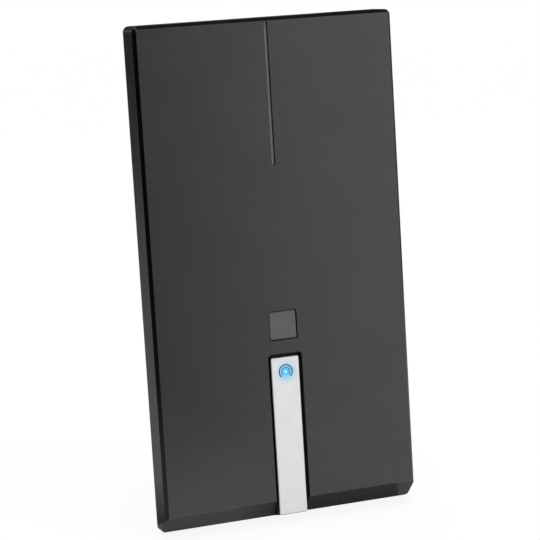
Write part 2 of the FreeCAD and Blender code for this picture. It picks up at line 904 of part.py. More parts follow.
def coax_socket():
    """Aerial socket: a block on the board and a barrel that reaches down into the bay."""
    x = bay_left + s.coax_place
    axis = coax_axis
    thread_high = s.bay_high - s.coax_neck_length
    low = thread_high - s.coax_length
    block_low = socket_plane
    block_high = block_low + s.coax_block_length
    seat = s.coax_radius - s.coax_lip
    block = box(
        "coax_block", x - s.coax_block / 2, x + s.coax_block / 2, block_low, block_high,
        board_back, board_back + s.socket_rise
    )
    barrel = upright_rod("coax_barrel", s.coax_radius, x, axis, low, thread_high)
    neck = upright_rod("coax_neck", s.coax_neck_radius, x, axis, low, board_low - s.socket_clear)
    core_high = block_low + s.coax_root
    bore = upright_rod("coax_bore", seat, x, axis, low - PAST, core_high)
    panel_node("coax_socket", cut("coax_socket", fuse("coax_solid", [block, barrel, neck]), [bore]))
    plug = upright_rod("coax_plug", seat, x, axis, low + s.insulator_sunk, core_high)
    channel = upright_rod(
        "coax_channel", s.contact_radius, x, axis, low + s.insulator_sunk - PAST, core_high - PAST
    )
    panel_node("coax_insulator", cut("coax_insulator", plug, [channel]))
    sleeve = upright_rod("coax_sleeve", s.contact_radius, x, axis, low + s.insulator_sunk, core_high - PAST)
    hole = upright_rod("coax_contact_hole", s.contact_bore, x, axis, low, core_high - 2 * PAST)
    panel_node("coax_contact", cut("coax_contact", sleeve, [hole]))


def power_jack():
    """Supply socket: its mouth is level with the top wall of the bay."""
    x = bay_left + s.jack_place
    axis = jack_axis
    low = s.bay_high
    bore_high = low + s.jack_bore_length
    body = box(
        "jack_block", x - s.jack_width / 2, x + s.jack_width / 2, low, low + s.jack_length,
        board_back, board_back + s.socket_rise
    )
    bore = upright_rod("jack_bore", s.jack_bore, x, axis, low - PAST, bore_high)
    root = upright_rod("jack_root", s.jack_pin_radius, x, axis, bore_high - PAST, bore_high + s.jack_pin_root)
    panel_node("power_jack", cut("power_jack", body, [bore, root]))
    pin = upright_rod(
        "jack_pin", s.jack_pin_radius, x, axis, low + s.jack_pin_sunk, bore_high + s.jack_pin_root
    )
    panel_node("power_jack_pin", group("power_jack_pin", [pin]))


def screws():
    """Self-tapping screws from the back into the bosses of the front cover."""
    shank = s.screw_radius - s.thread_gap
    cover = []
    for number, (x, y) in enumerate(screw_places()):
        cover.append(fuse(f"cover_screw_{number}", [
            depth_rod(
                f"cover_head_{number}", s.screw_head_radius, x, y,
                screw_seat, screw_seat + s.screw_head_height
            ),
            depth_rod(
                f"cover_shank_{number}", shank, x, y,
                screw_seat - s.screw_floor - s.screw_length + 2 * s.screw_clear, screw_seat + PAST
            ),
        ]))
    panel_node("cover_screws", group("cover_screws", cover))


def base_feet():
    """Rubber wedges that turn the slanted bottom edge into level soles."""
    def sole_height(depth):
        return (depth * sine(s.lean_angle) - base_rise) / cosine(s.lean_angle)

    profile = (
        (bottom_out, s.foot_front),
        (bottom_out, s.foot_rear),
        (sole_height(s.foot_rear), s.foot_rear),
        (sole_height(s.foot_front), s.foot_front),
    )
    half = s.foot_width / 2
    reach = half_out - s.foot_inset - half
    panel_node("base_feet", group("base_feet", [
        side_prism(name, profile, side * reach - half, side * reach + half)
        for name, side in (("foot_left", -1), ("foot_right", 1))
    ]))


def stand_pin():
    rod = cross_rod("hinge_rod", s.pin_radius, s.hinge_height, hinge_depth, -pin_half, pin_half)
    panel_node("stand_pin", group("stand_pin", [rod]))


def leg_blade_low():
    """Lower end of the leg's plastic blade, where the rubber tip begins."""
    return sole(Size.wrap(0)) + s.pad_length


def stand_leg():
    """Ribbed blade with its hinge barrel and the heel that stops it when open."""
    half = s.leg_width / 2
    near = s.barrel_radius - s.leg_thickness
    low = leg_blade_low()
    blade = box("leg_blade", -half, half, low, 0, near, s.barrel_radius)
    barrel = cross_rod("leg_barrel", s.barrel_radius, 0, 0, -half, half)
    reach = s.barrel_radius + s.barrel_gap - s.stop_gap
    turn = s.leg_open_angle
    stop_low = (reach - s.barrel_radius * cosine(turn)) / sine(turn)
    stop_depth = (s.heel_length * sine(turn) - reach) / cosine(turn)
    heel = side_prism("leg_heel", (
        (0, s.barrel_radius),
        (s.heel_length, s.barrel_radius),
        (s.heel_length, stop_depth),
        (stop_low, -s.barrel_radius),
        (0, -s.barrel_radius),
    ), -half, half)

    tools = [cross_rod("leg_bore", s.pin_radius + s.pin_run_gap, 0, 0, -half - PAST, half + PAST)]
    floor = s.barrel_radius - s.leg_skin
    pocket_low = low + s.tenon_length + s.leg_rim
    pocket_high = -s.barrel_radius - s.leg_rim
    pitch_up = (pocket_high - pocket_low + s.leg_rib) / LEG_RIB_ROWS
    pitch_across = (s.leg_width - 2 * s.leg_rim + s.leg_rib) / LEG_RIB_COLUMNS
    for row in range(LEG_RIB_ROWS):
        for column in range(LEG_RIB_COLUMNS):
            left = s.leg_rim - half + column * pitch_across
            bottom = pocket_low + row * pitch_up
            tools.append(box(
                f"leg_pocket_{row}_{column}", left, left + pitch_across - s.leg_rib,
                bottom, bottom + pitch_up - s.leg_rib, near - PAST, floor
            ))
    for number in range(GRIP_GROOVES):
        bottom = low + s.grip_rise + number * s.grip_pitch
        tools.append(box(
            f"grip_groove_{number}", -s.grip_width / 2, s.grip_width / 2, bottom, bottom + s.grip_groove,
            s.barrel_radius - s.grip_depth, s.barrel_radius + PAST
        ))
    middle = near + s.leg_thickness / 2
    slot = s.tenon_thickness / 2 + s.tenon_gap
    tools.append(box(
        "tenon_slot", -s.tenon_width / 2 - s.tenon_gap, s.tenon_width / 2 + s.tenon_gap,
        low - PAST, low + s.tenon_length + s.tenon_gap, middle - slot, middle + slot
    ))
    leg_node("stand_leg", cut("stand_leg", fuse("leg_solid", [blade, barrel, heel]), tools))


def leg_pad():
    """Rubber tip with a tenon in the blade and a sole that is level when the leg is open."""
    half = s.leg_width / 2
    near = s.barrel_radius - s.leg_thickness
    low = leg_blade_low()
    block = side_prism("pad_block", (
        (low, near),
        (low, s.barrel_radius),
        (sole(s.barrel_radius), s.barrel_radius),
        (sole(near), near),
    ), -half, half)
    middle = near + s.leg_thickness / 2
    tenon = box(
        "pad_tenon", -s.tenon_width / 2, s.tenon_width / 2, low - PAST, low + s.tenon_length,
        middle - s.tenon_thickness / 2, middle + s.tenon_thickness / 2
    )
    leg_node("leg_pad", fuse("leg_pad", [block, tenon]))


front_cover()
rear_cover()
trim_strip()
strip_carrier()
light_pieces()
front_trim()
circuit_board()
radiators()
balun()
amplifier()
coax_socket()
power_jack()
screws()
base_feet()
stand_pin()
stand_leg()
leg_pad()
doc.recompute()

faults = [item.Name for item in doc.Objects if {"Invalid", "Error"} & set(item.State)]
faults += [piece.Label for piece in nodes if piece.Shape.isNull() or not piece.Shape.isValid()]
if faults:
    raise RuntimeError("failed objects: " + ", ".join(faults))

os.makedirs("parts", exist_ok=True)
for piece in nodes:
    piece.Shape.exportStep(f"parts/{piece.Label}.step")
print(f"{len(nodes)} nodes, hinge at {base_back.value + hinge_back.value:.3f}, {hinge_rise.value:.3f} mm")
print(f"leg from pin to ground {-sole(Size.wrap(0)).value:.2f} mm, panel moved back {base_back.value:.3f} mm")
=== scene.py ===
# %% [markdown]
# The object is an amplified indoor TV antenna: a flat charcoal panel that leans back on a fold-out leg.
# Its solids come ready made, so this lesson loads them, gives each one its finish, and then adds the
# small pieces that solids leave out: the lit symbol, the screw heads and the thread of the aerial socket.
# Everything is in metres, with the front face looking along -Y and the ground at Z = 0.

# %% Load the solids
import math

import bmesh
import bpy
from mathutils import Matrix, Vector


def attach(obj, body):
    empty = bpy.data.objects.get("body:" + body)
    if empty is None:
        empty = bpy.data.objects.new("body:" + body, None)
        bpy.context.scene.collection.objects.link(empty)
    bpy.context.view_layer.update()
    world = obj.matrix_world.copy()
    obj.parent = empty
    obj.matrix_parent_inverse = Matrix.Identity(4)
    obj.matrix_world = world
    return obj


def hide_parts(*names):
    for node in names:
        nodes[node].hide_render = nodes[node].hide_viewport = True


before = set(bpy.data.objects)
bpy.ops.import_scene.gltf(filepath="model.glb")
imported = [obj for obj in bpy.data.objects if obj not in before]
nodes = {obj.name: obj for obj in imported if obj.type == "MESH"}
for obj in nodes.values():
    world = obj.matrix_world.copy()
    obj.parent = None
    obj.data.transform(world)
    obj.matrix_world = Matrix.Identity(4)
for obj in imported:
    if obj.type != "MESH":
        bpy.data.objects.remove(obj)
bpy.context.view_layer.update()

scene = bpy.context.scene

# %% [markdown]
# Most measures are easier to read on the panel itself than in the room, because the panel leans.
# So pieces are drawn in millimetres on the panel: x to the right, y up the face, z out of the face.
# One matrix then carries them to where the panel stands.

# %% The panel's own axes
MM = 0.001
LEAN = math.radians(9.6)
PANEL_FOOT = Vector((0.0, -0.033957, 0.014770))
PANEL_TURN = math.pi / 2 - LEAN
on_panel = Matrix.Translation(PANEL_FOOT) @ Matrix.Rotation(PANEL_TURN, 4, "X") @ Matrix.Scale(MM, 4)
print("front face looks along", [round(v, 3) for v in on_panel.to_3x3() @ Vector((0, 0, 1)) / MM])

# %% [markdown]
# The camera stands to the front left and a little above, about 1.2 m away.
# Its place and lens were fitted to the straight edges of the panel in the picture.

# %% Camera
CAMERA_PLACE = Vector((-0.41285, -1.064037, 0.498540))
CAMERA_AZIMUTH = math.radians(-21.14)
CAMERA_ELEVATION = math.radians(17.33)
towards_camera = Vector((
    math.sin(CAMERA_AZIMUTH) * math.cos(CAMERA_ELEVATION),
    -math.cos(CAMERA_AZIMUTH) * math.cos(CAMERA_ELEVATION),
    math.sin(CAMERA_ELEVATION),
))
camera = bpy.data.objects.new("camera", bpy.data.cameras.new("camera"))
camera.data.sensor_width = 36.0
camera.data.lens = 139.8
camera.data.clip_start = 0.05
camera.data.clip_end = 20.0
camera.rotation_mode = "QUATERNION"
camera.rotation_quaternion = (-towards_camera).to_track_quat("-Z", "Y")
camera.location = CAMERA_PLACE
scene.collection.objects.link(camera)
scene.camera = camera
scene.view_settings.view_transform = "Standard"
print("camera at", [round(v, 3) for v in CAMERA_PLACE])

# %% [markdown]
# Every finish below is a small tree of shader nodes. Five helpers keep those trees readable: one adds a
# node and fills its sockets, one does arithmetic, one maps a value to a new range, one blends two colours
# and one writes a grey.

# %% Helpers for shader trees
def put(tree, kind, sockets=(), **settings):
    """Add a node; a socket takes a plain value or another node's output."""
    node = tree.nodes.new(kind)
    for name, value in settings.items():
        setattr(node, name, value)
    for key, value in dict(sockets).items():
        if isinstance(value, bpy.types.NodeSocket):
            tree.links.new(value, node.inputs[key])
        else:
            node.inputs[key].default_value = value
    return node


def maths(tree, operation, *operands):
    return put(tree, "ShaderNodeMath", enumerate(operands), operation=operation).outputs[0]


def remap(tree, value, low, high, to_low=0.0, to_high=1.0):
    """Carry the range from low to high over to a new range, and hold the value at its ends."""
    sockets = {"Value": value, "From Min": low, "From Max": high, "To Min": to_low, "To Max": to_high}
    return put(tree, "ShaderNodeMapRange", sockets).outputs["Result"]


def between(tree, share, first, second):
    """A colour that goes from first to second as share goes from 0 to 1."""
    return put(tree, "ShaderNodeMix", {0: share, 6: first, 7: second}, data_type="RGBA").outputs[2]


def grey(level, blue=1.0):
    return (level, level, level * blue, 1.0)


print("shader helpers ready")

# %% [markdown]
# The room is plain: a pale floor that runs out of sight and soft light. The picture's background is white,
# so the floor is partly white to the camera and to reflections, and the rest of it takes the soft shadow.
# Further out there is no shadow to take, so there the floor turns all white and its edge doesn't show.
# The light on the object stays at a plain level, at which a colour renders about as it is written.

# %% Floor and world
FLOOR_HALF = 6.0
FLOOR_TONE = 0.92
FLOOR_WHITE = 0.89
SHADOW_ENDS, ALL_WHITE = 0.35, 1.5
ROOM_LIGHT = 0.50


def seen_directly(tree):
    """1 for the camera, mirrors and glass; 0 for the light that falls on things."""
    path = put(tree, "ShaderNodeLightPath").outputs
    either = maths(tree, "MAXIMUM", path["Is Camera Ray"], path["Is Glossy Ray"])
    return maths(tree, "MAXIMUM", either, path["Is Transmission Ray"])


corners = [(-1, -1), (1, -1), (1, 1), (-1, 1)]
floor_mesh = bpy.data.meshes.new("floor")
floor_mesh.from_pydata([(FLOOR_HALF * x, FLOOR_HALF * y, 0) for x, y in corners], [], [(0, 1, 2, 3)])
floor = bpy.data.objects.new("floor", floor_mesh)
scene.collection.objects.link(floor)

pale_floor = bpy.data.materials.new("pale_floor")
pale_floor.use_nodes = True
tree = pale_floor.node_tree
tree.nodes.clear()
lit_floor = put(tree, "ShaderNodeBsdfDiffuse", {"Color": grey(FLOOR_TONE)}).outputs[0]
white_floor = put(tree, "ShaderNodeEmission", {"Color": grey(1.0), "Strength": 1.0}).outputs[0]
place = put(tree, "ShaderNodeTexCoord").outputs["Object"]
away = put(tree, "ShaderNodeVectorMath", {0: place}, operation="LENGTH").outputs["Value"]
whiteness = remap(tree, away, SHADOW_ENDS, ALL_WHITE, FLOOR_WHITE, 1.0)
white_share = maths(tree, "MULTIPLY", seen_directly(tree), whiteness)
floor_look = put(tree, "ShaderNodeMixShader", {0: white_share, 1: lit_floor, 2: white_floor}).outputs[0]
put(tree, "ShaderNodeOutputMaterial", {"Surface": floor_look})
floor_mesh.materials.append(pale_floor)

world = bpy.data.worlds.new("studio")
scene.world = world
world.use_nodes = True
tree = world.node_tree
background = tree.nodes["Background"]
background.inputs["Color"].default_value = grey(1.0)
tree.links.new(remap(tree, seen_directly(tree), 0, 1, ROOM_LIGHT, 1.0), background.inputs["Strength"])
print("floor of", 2 * FLOOR_HALF, "m and a room at", ROOM_LIGHT)

# %% [markdown]
# Two softboxes light the panel: one stands at the front right, and a large one hangs above and keeps the
# floor bright. The left side gets no lamp and stays the darkest.

# %% Lamps
def softbox(name, place, aim, size, watts):
    lamp = bpy.data.lights.new(name, "AREA")
    lamp.shape = "RECTANGLE"
    lamp.size, lamp.size_y = size
    lamp.energy = watts
    holder = bpy.data.objects.new(name, lamp)
    holder.location = place
    holder.rotation_mode = "QUATERNION"
    holder.rotation_quaternion = (Vector(aim) - Vector(place)).to_track_quat("-Z", "Y")
    scene.collection.objects.link(holder)


softbox("key_softbox", place=(1.60, -1.30, 0.90), aim=(0.0, 0.0, 0.15), size=(0.8, 0.8), watts=15.0)
softbox("top_softbox", place=(0.0, 0.2, 2.2), aim=(0.0, 0.0, 0.0), size=(2.0, 2.0), watts=36.0)
print("two softboxes")

# %% [markdown]
# A satin or polished surface shows what stands round it, so photographers set cards out of the picture.
# The left, right, top and rear cards are black and keep the polished bevel and the top corner black. The
# front card is dark on the left and grows white to the right, which the face mirrors; below its edge the
# white floor shows. Three more lie on the floor: the one behind shades the top of the side wall, the small
# one stands for the shadow at the wall's foot, and the one in front is a painted shadow under the chin,
# white on the left and darker on the right, which the chin mirrors.
# Cards are seen by mirror rays alone, so they take no light from the object.

# %% Cards for the reflections
def mirror_card(name, corners, axis, dark_at, white_at, darkest=0.0):
    """A card that goes from dark to white along one axis of the room."""
    material = bpy.data.materials.new(name)
    material.use_nodes = True
    tree = material.node_tree
    tree.nodes.clear()
    place = put(tree, "ShaderNodeTexCoord").outputs["Object"]
    along = put(tree, "ShaderNodeSeparateXYZ", {0: place}).outputs[axis]
    whiteness = remap(tree, along, dark_at, white_at, darkest)
    tint = put(tree, "ShaderNodeEmission", {"Strength": whiteness}).outputs[0]
    put(tree, "ShaderNodeOutputMaterial", {"Surface": tint})
    mesh = bpy.data.meshes.new(name)
    mesh.from_pydata(corners, [], [(0, 1, 2, 3)])
    mesh.materials.append(material)
    card = bpy.data.objects.new(name, mesh)
    card.visible_camera = False
    card.visible_diffuse = False
    card.visible_shadow = False
    card.visible_transmission = False
    scene.collection.objects.link(card)


def upright_card(start, end, low, high):
    """The corners of a card that stands over a line on the floor."""
    return [(*start, low), (*end, low), (*end, high), (*start, high)]


def flat_card(x_low, x_high, y_low, y_high, z):
    """The corners of a card that lies level."""
    return [(x_low, y_low, z), (x_high, y_low, z), (x_high, y_high, z), (x_low, y_high, z)]


# A card that ends before the change from dark to white begins is black all over.
BLACK = {"axis": "X", "dark_at": 1.0, "white_at": 2.0}
mirror_card("left_card", upright_card((-0.36, -0.5), (-0.36, 0.3), 0.0, 0.6), **BLACK)
mirror_card("right_card", upright_card((0.40, 0.14), (0.40, 0.9), 0.0, 0.6), **BLACK)
mirror_card("top_card", flat_card(-0.2, 0.65, 0.05, 0.7, 0.8), **BLACK)
mirror_card("rear_card", upright_card((-0.5, 0.9), (0.4, 0.9), 0.28, 0.9), **BLACK)
front_corners = upright_card((-0.36, -0.22), (0.35, -0.22), 0.030, 0.9)
mirror_card("front_card", front_corners, "X", dark_at=-0.03, white_at=0.12)
mirror_card("back_card", flat_card(-1.5, 0.2, 0.1, 2.5, 0.004), "Y", dark_at=1.0, white_at=0.1)
foot_corners = flat_card(-0.16, -0.077, -0.015, 0.06, 0.003)
mirror_card("foot_card", foot_corners, "Y", dark_at=-0.02, white_at=0.05)
# The chin card is a painted shadow: it stands for the floor's shadow under the chin, darker on the right,
# which the chin mirrors.
chin_shadow_corners = flat_card(-0.035, 0.071, -0.08, -0.005, 0.0008)
mirror_card("chin_shadow_card", chin_shadow_corners, "X", dark_at=-0.003, white_at=-0.035, darkest=0.25)
print("eight cards")

# %% [markdown]
# A finish is a Principled shader whose colour, roughness and bump vary over the surface.
# The patterns are drawn in panel millimetres: a Mapping node turns object coordinates into them,
# so that "0.4" in a grain means 0.4 mm on the part, and the pattern is upright on the leaning panel.

# %% Helpers for finishes
def new_finish(name, **constants):
    """A material with its Principled shader; what is the same all over is set on the shader itself."""
    material = bpy.data.materials.new(name)
    material.use_nodes = True
    tree = material.node_tree
    shader = tree.nodes["Principled BSDF"]
    for label, value in constants.items():
        shader.inputs[label.replace("_", " ")].default_value = value
    return material, tree, shader


def panel_place(tree):
    """Object coordinates in panel millimetres."""
    place = put(tree, "ShaderNodeTexCoord").outputs["Object"]
    sockets = {
        "Vector": place, "Location": PANEL_FOOT, "Rotation": (PANEL_TURN, 0, 0), "Scale": (MM, MM, MM),
    }
    return put(tree, "ShaderNodeMapping", sockets, vector_type="TEXTURE").outputs[0]


def raise_bumps(tree, shader, height, strength, distance_mm):
    """Let a height pattern tilt the surface."""
    sockets = {"Height": height, "Strength": strength, "Distance": distance_mm * MM}
    tree.links.new(put(tree, "ShaderNodeBump", sockets).outputs[0], shader.inputs["Normal"])


def noise(tree, place, scale, detail=2.0, rough=0.5):
    sockets = {"Vector": place, "Scale": scale, "Detail": detail, "Roughness": rough}
    return put(tree, "ShaderNodeTexNoise", sockets).outputs[0]


print("finish helpers ready")

# %% [markdown]
# Moulded plastic takes its grain from the spark-eroded wall of the mould: tiny rounded hills with pits.
# Several pieces share it at different sizes, so it is a node group. It gives a height for the bump,
# a cloud for slow changes of tone, and a speck pattern for the single bright and dark grains.

# %% Group: moulded grain
def open_group(name, inputs, outputs):
    group = bpy.data.node_groups.new(name, "ShaderNodeTree")
    for label, kind in inputs:
        group.interface.new_socket(label, in_out="INPUT", socket_type=kind)
    for label in outputs:
        group.interface.new_socket(label, in_out="OUTPUT", socket_type="NodeSocketFloat")
    return group, group.nodes.new("NodeGroupInput").outputs, group.nodes.new("NodeGroupOutput").inputs


def grouped(tree, group, sockets):
    return put(tree, "ShaderNodeGroup", sockets, node_tree=group).outputs


PLACE_AND_SIZE = (("Place", "NodeSocketVector"), ("Size", "NodeSocketFloat"))
moulded_grain, given, result = open_group("moulded_grain", PLACE_AND_SIZE, ("Height", "Cloud", "Speck"))
fineness = maths(moulded_grain, "DIVIDE", 1.0, given["Size"])
hills = noise(moulded_grain, given["Place"], fineness, detail=3.0, rough=0.6)
cells = put(moulded_grain, "ShaderNodeTexVoronoi", {"Vector": given["Place"], "Scale": fineness}).outputs
pits = remap(moulded_grain, cells["Distance"], 0.0, 0.9)
cloud = noise(moulded_grain, given["Place"], 0.03, detail=3.0, rough=0.55)
speck = put(moulded_grain, "ShaderNodeSeparateColor", {0: cells["Color"]}).outputs[0]
moulded_grain.links.new(maths(moulded_grain, "MULTIPLY", hills, pits), result["Height"])
moulded_grain.links.new(cloud, result["Cloud"])
moulded_grain.links.new(speck, result["Speck"])
print("moulded_grain gives", [item.name for item in moulded_grain.interface.items_tree])

# %% [markdown]
# Handling leaves faint smudges: places where skin has touched a satin surface are a little glossier.
# The group gives one broad, slow mask, and the materials are smoother where it is high.

# %% Group: handling
handling, given, result = open_group("handling", PLACE_AND_SIZE, ("Smudge",))
fineness = maths(handling, "DIVIDE", 1.0, given["Size"])
broad = noise(handling, given["Place"], fineness, detail=4.0, rough=0.62)
handling.links.new(remap(handling, broad, 0.38, 0.66), result["Smudge"])
print("handling gives a smudge mask")

# %% [markdown]
# Silver and grey lacquer carries metal flakes that lie nearly flat. Each flake is one cell of a Voronoi
# pattern with a random brightness; a few stand out as sparkles. The strip, the badge plate and the
# accent line share it.

# %% Group: lacquer flakes
lacquer_flakes, given, result = open_group("lacquer_flakes", PLACE_AND_SIZE, ("Flake", "Sparkle", "Cloud"))
fineness = maths(lacquer_flakes, "DIVIDE", 1.0, given["Size"])
flake_cells = put(lacquer_flakes, "ShaderNodeTexVoronoi", {"Vector": given["Place"], "Scale": fineness})
flake = put(lacquer_flakes, "ShaderNodeSeparateColor", {0: flake_cells.outputs["Color"]}).outputs
cloud = noise(lacquer_flakes, given["Place"], 0.12, detail=3.0, rough=0.55)
lacquer_flakes.links.new(flake[0], result["Flake"])
lacquer_flakes.links.new(remap(lacquer_flakes, flake[1], 0.96, 1.0), result["Sparkle"])
lacquer_flakes.links.new(cloud, result["Cloud"])
print("lacquer_flakes ready")

# %% [markdown]
# Bare and plated metal shows drawn lines and a slow tarnish. The lines are noise stretched along one
# direction; the tarnish is a broad cloud that dulls the metal where it is thick.

# %% Group: metal skin
STRETCH = (1.0, 0.06, 1.0)
metal_skin, given, result = open_group("metal_skin", PLACE_AND_SIZE, ("Lines", "Tarnish"))
stretched = put(metal_skin, "ShaderNodeMapping", {"Vector": given["Place"], "Scale": STRETCH}).outputs[0]
fineness = maths(metal_skin, "DIVIDE", 1.0, given["Size"])
lines = noise(metal_skin, stretched, fineness, detail=3.0, rough=0.6)
tarnish = noise(metal_skin, given["Place"], 0.35, detail=4.0, rough=0.6)
metal_skin.links.new(lines, result["Lines"])
metal_skin.links.new(tarnish, result["Tarnish"])
print("metal_skin ready")

# %% [markdown]
# The front cover is one charcoal moulding with several looks. The face is satin and painted a lighter
# charcoal than the rest, as painted light; the chin and the sides are duller, and the narrow bevel round
# the face is polished black. The walls round the badge plate and the accent line are painted black as
# painted shade. Its faces could be given several materials, but the solid stays as it is, so one material
# tells its places apart by masks in panel millimetres: the bevel lies outside the face's outline, the
# recesses lie behind the face, and the chin lies below it. Each pair of numbers says where a mask is still
# 0 and where it has risen to 1.

# %% Masks of the front shell
FACE_HALF, FACE_TOP, BEVEL_DEPTH, BORDER = 75.0, 273.0, 2.5, 0.12
FACE_FROM, SUNK_FROM = (-0.3, -0.1), (-0.22, -0.32)
RECESS_SIDE, RECESS_FOOT, RECESS_TOP = (12.2, 12.0), (88.0, 89.0), (FACE_TOP, FACE_TOP - 0.2)
LIP_LEFT, LIP_RIGHT = (0.76, 0.80), (1.20, 1.16)
LIP_FOOT, LIP_TOP = (192.3, 192.5), (FACE_TOP - 0.2, FACE_TOP - 0.4)
CHIN_TOP, CHIN_SIDE = (0.1, -0.3), (76.7, 76.0)


def inside(tree, *borders):
    """A mask that is 1 where every value has crossed its border."""
    mask = None
    for value, border in borders:
        crossed = remap(tree, value, *border)
        mask = crossed if mask is None else maths(tree, "MULTIPLY", mask, crossed)
    return mask


front_shell, tree, shader = new_finish(
    "front_shell", Specular_IOR_Level=0.0, Coat_Roughness=0.30, Coat_IOR=1.5,
)
place = panel_place(tree)
x, y, z = put(tree, "ShaderNodeSeparateXYZ", {0: place}).outputs
off_middle = maths(tree, "ABSOLUTE", x)
beyond_side = remap(tree, off_middle, FACE_HALF, FACE_HALF + BORDER)
beyond_top = remap(tree, y, FACE_TOP, FACE_TOP + BORDER)
near_front = remap(tree, z, -BEVEL_DEPTH - 0.05, -BEVEL_DEPTH + 0.1)
on_bevel = maths(tree, "MULTIPLY", maths(tree, "MAXIMUM", beyond_side, beyond_top), near_front)
# Painted shade: the walls of the recesses round the badge plate and the accent line are painted black,
# where shade falls.
recess_shade = inside(tree, (z, SUNK_FROM), (y, RECESS_FOOT), (y, RECESS_TOP), (off_middle, RECESS_SIDE))
# The right lip of the groove that holds the accent line is painted black as well: painted shade
# for the groove's shaded right wall.
lip_shade = inside(tree, (x, LIP_LEFT), (x, LIP_RIGHT), (y, LIP_FOOT), (y, LIP_TOP))
recess_and_lip_shade = maths(tree, "MAXIMUM", recess_shade, lip_shade)
black = maths(tree, "MAXIMUM", on_bevel, recess_and_lip_shade)
on_face = inside(tree, (z, FACE_FROM))
on_chin = inside(tree, (y, CHIN_TOP), (off_middle, CHIN_SIDE))
print("masks for the bevel, the recesses, the face and the chin")

# %% [markdown]
# The satin is made with a rough clear coat over a dull colour. The coat carries the gloss, so its weight
# says how much of the room a place mirrors: much on the face, less on the sides and the chin, and least
# in the recesses. Grain and smudges vary the colour, the roughness and the coat a little.

# %% Finish: front shell
SIDE_COAT, SMUDGED_COAT, CHIN_EXTRA, FACE_EXTRA = 0.31, 0.35, 0.04, 0.58
BEVEL_COAT, RECESS_COAT = 0.45, 0.1
BLACK_BEVEL_AND_SHADE = grey(0.0022)


def grain_tone(tree, grain, speck_share):
    """One tone from the slow cloud and the single grains of a moulding."""
    slow = remap(tree, grain["Cloud"], 0.3, 0.7, 0.0, 1.0 - speck_share)
    return maths(tree, "ADD", slow, maths(tree, "MULTIPLY", grain["Speck"], speck_share))


grain = grouped(tree, moulded_grain, {"Place": place, "Size": 0.35})
smudge = grouped(tree, handling, {"Place": place, "Size": 45.0})["Smudge"]
tone = grain_tone(tree, grain, 0.3)
# Painted light: the face is given a lighter charcoal than the sides and the chin, a lit copy of the same
# plastic.
side_charcoal = between(tree, tone, grey(0.020, 1.02), grey(0.026, 1.02))
lit_face_charcoal = between(tree, tone, grey(0.030, 1.02), grey(0.036, 1.02))
charcoal = between(tree, on_face, side_charcoal, lit_face_charcoal)
# The bevel's own polished black also serves as the painted shade in the recesses and on the groove's lip.
tree.links.new(between(tree, black, charcoal, BLACK_BEVEL_AND_SHADE), shader.inputs["Base Color"])
tree.links.new(remap(tree, smudge, 0, 1, 0.58, 0.5), shader.inputs["Roughness"])
satin = remap(tree, smudge, 0, 1, SIDE_COAT, SMUDGED_COAT)
satin = maths(tree, "ADD", satin, maths(tree, "MULTIPLY", on_chin, CHIN_EXTRA))
satin = maths(tree, "ADD", satin, maths(tree, "MULTIPLY", on_face, FACE_EXTRA))
polish = remap(tree, recess_and_lip_shade, 0, 1, BEVEL_COAT, RECESS_COAT)
tree.links.new(remap(tree, black, 0, 1, satin, polish), shader.inputs["Coat Weight"])
raise_bumps(tree, shader, grain["Height"], 0.10, 0.02)
print("front_shell: satin charcoal with a black bevel")

# %% [markdown]
# The rear cover, the leg, the carrier, the jack, the chip and the white insulator are plainer mouldings.
# They differ only in colour, grain size and gloss, so one function makes them all.

# %% Finish: plain mouldings
def moulding(name, dark, light, grain_mm, bump, dull, glossy):
    material, tree, shader = new_finish(name, Specular_IOR_Level=0.35)
    place = panel_place(tree)
    grain = grouped(tree, moulded_grain, {"Place": place, "Size": grain_mm})
    smudge = grouped(tree, handling, {"Place": place, "Size": 30.0})["Smudge"]
    tone = grain_tone(tree, grain, 0.4)
    tree.links.new(between(tree, tone, dark, light), shader.inputs["Base Color"])
    tree.links.new(remap(tree, smudge, 0, 1, dull, glossy), shader.inputs["Roughness"])
    raise_bumps(tree, shader, grain["Height"], bump, grain_mm * 0.2)
    return material


# Each has a dark and a light colour, its grain in mm, the bump, and its roughness, dull and smoothed.
rear_shell = moulding("rear_shell", grey(0.021, 1.03), grey(0.030, 1.03), 0.5, 0.55, 0.62, 0.5)
leg_shell = moulding("leg_shell", grey(0.020, 1.03), grey(0.028, 1.03), 0.5, 0.55, 0.60, 0.48)
carrier_black = moulding("carrier_black", grey(0.008), grey(0.013), 0.3, 0.25, 0.55, 0.45)
jack_black = moulding("jack_black", grey(0.010), grey(0.016), 0.25, 0.25, 0.5, 0.4)
chip_epoxy = moulding("chip_epoxy", grey(0.014), grey(0.022), 0.2, 0.4, 0.7, 0.6)
socket_white = moulding("socket_white", (0.74, 0.73, 0.69, 1), (0.84, 0.83, 0.79, 1), 0.3, 0.15, 0.5, 0.4)
print("six mouldings")

# %% [markdown]
# The silver strip is lacquered plastic, left clear where the symbol is. The lamp behind it lights a soft
# blue pool inside the symbol's inner arc that fades outwards and a little downwards. The pool is
# Emission: its colour falls off with the distance from the symbol's middle, drawn in panel millimetres.

# %% Finish: silver trim with the light behind it
SYMBOL_X, SYMBOL_Y = 0.1, 74.35
STRIP_FRONT = -0.6
SHADED_LOWER_RIM = (-8.25, -8.5)
POOL_SHIFT, POOL_EDGE, POOL_CORE, POOL_FALL = 0.6, 7.7, 1.5, 1.5
SILVER_DARK, SILVER_LIGHT = (0.712, 0.715, 0.718, 1), (0.785, 0.787, 0.789, 1)
LIT_SILVER, GLOW_BLUE = (0.05, 0.22, 0.42, 1), (0.05, 0.36, 0.57, 1.0)


def lacquer_tone(tree, flakes):
    """One tone, half from the single flakes and half from the slow cloud."""
    slow = remap(tree, flakes["Cloud"], 0.3, 0.7, 0, 0.5)
    return maths(tree, "ADD", maths(tree, "MULTIPLY", flakes["Flake"], 0.5), slow)


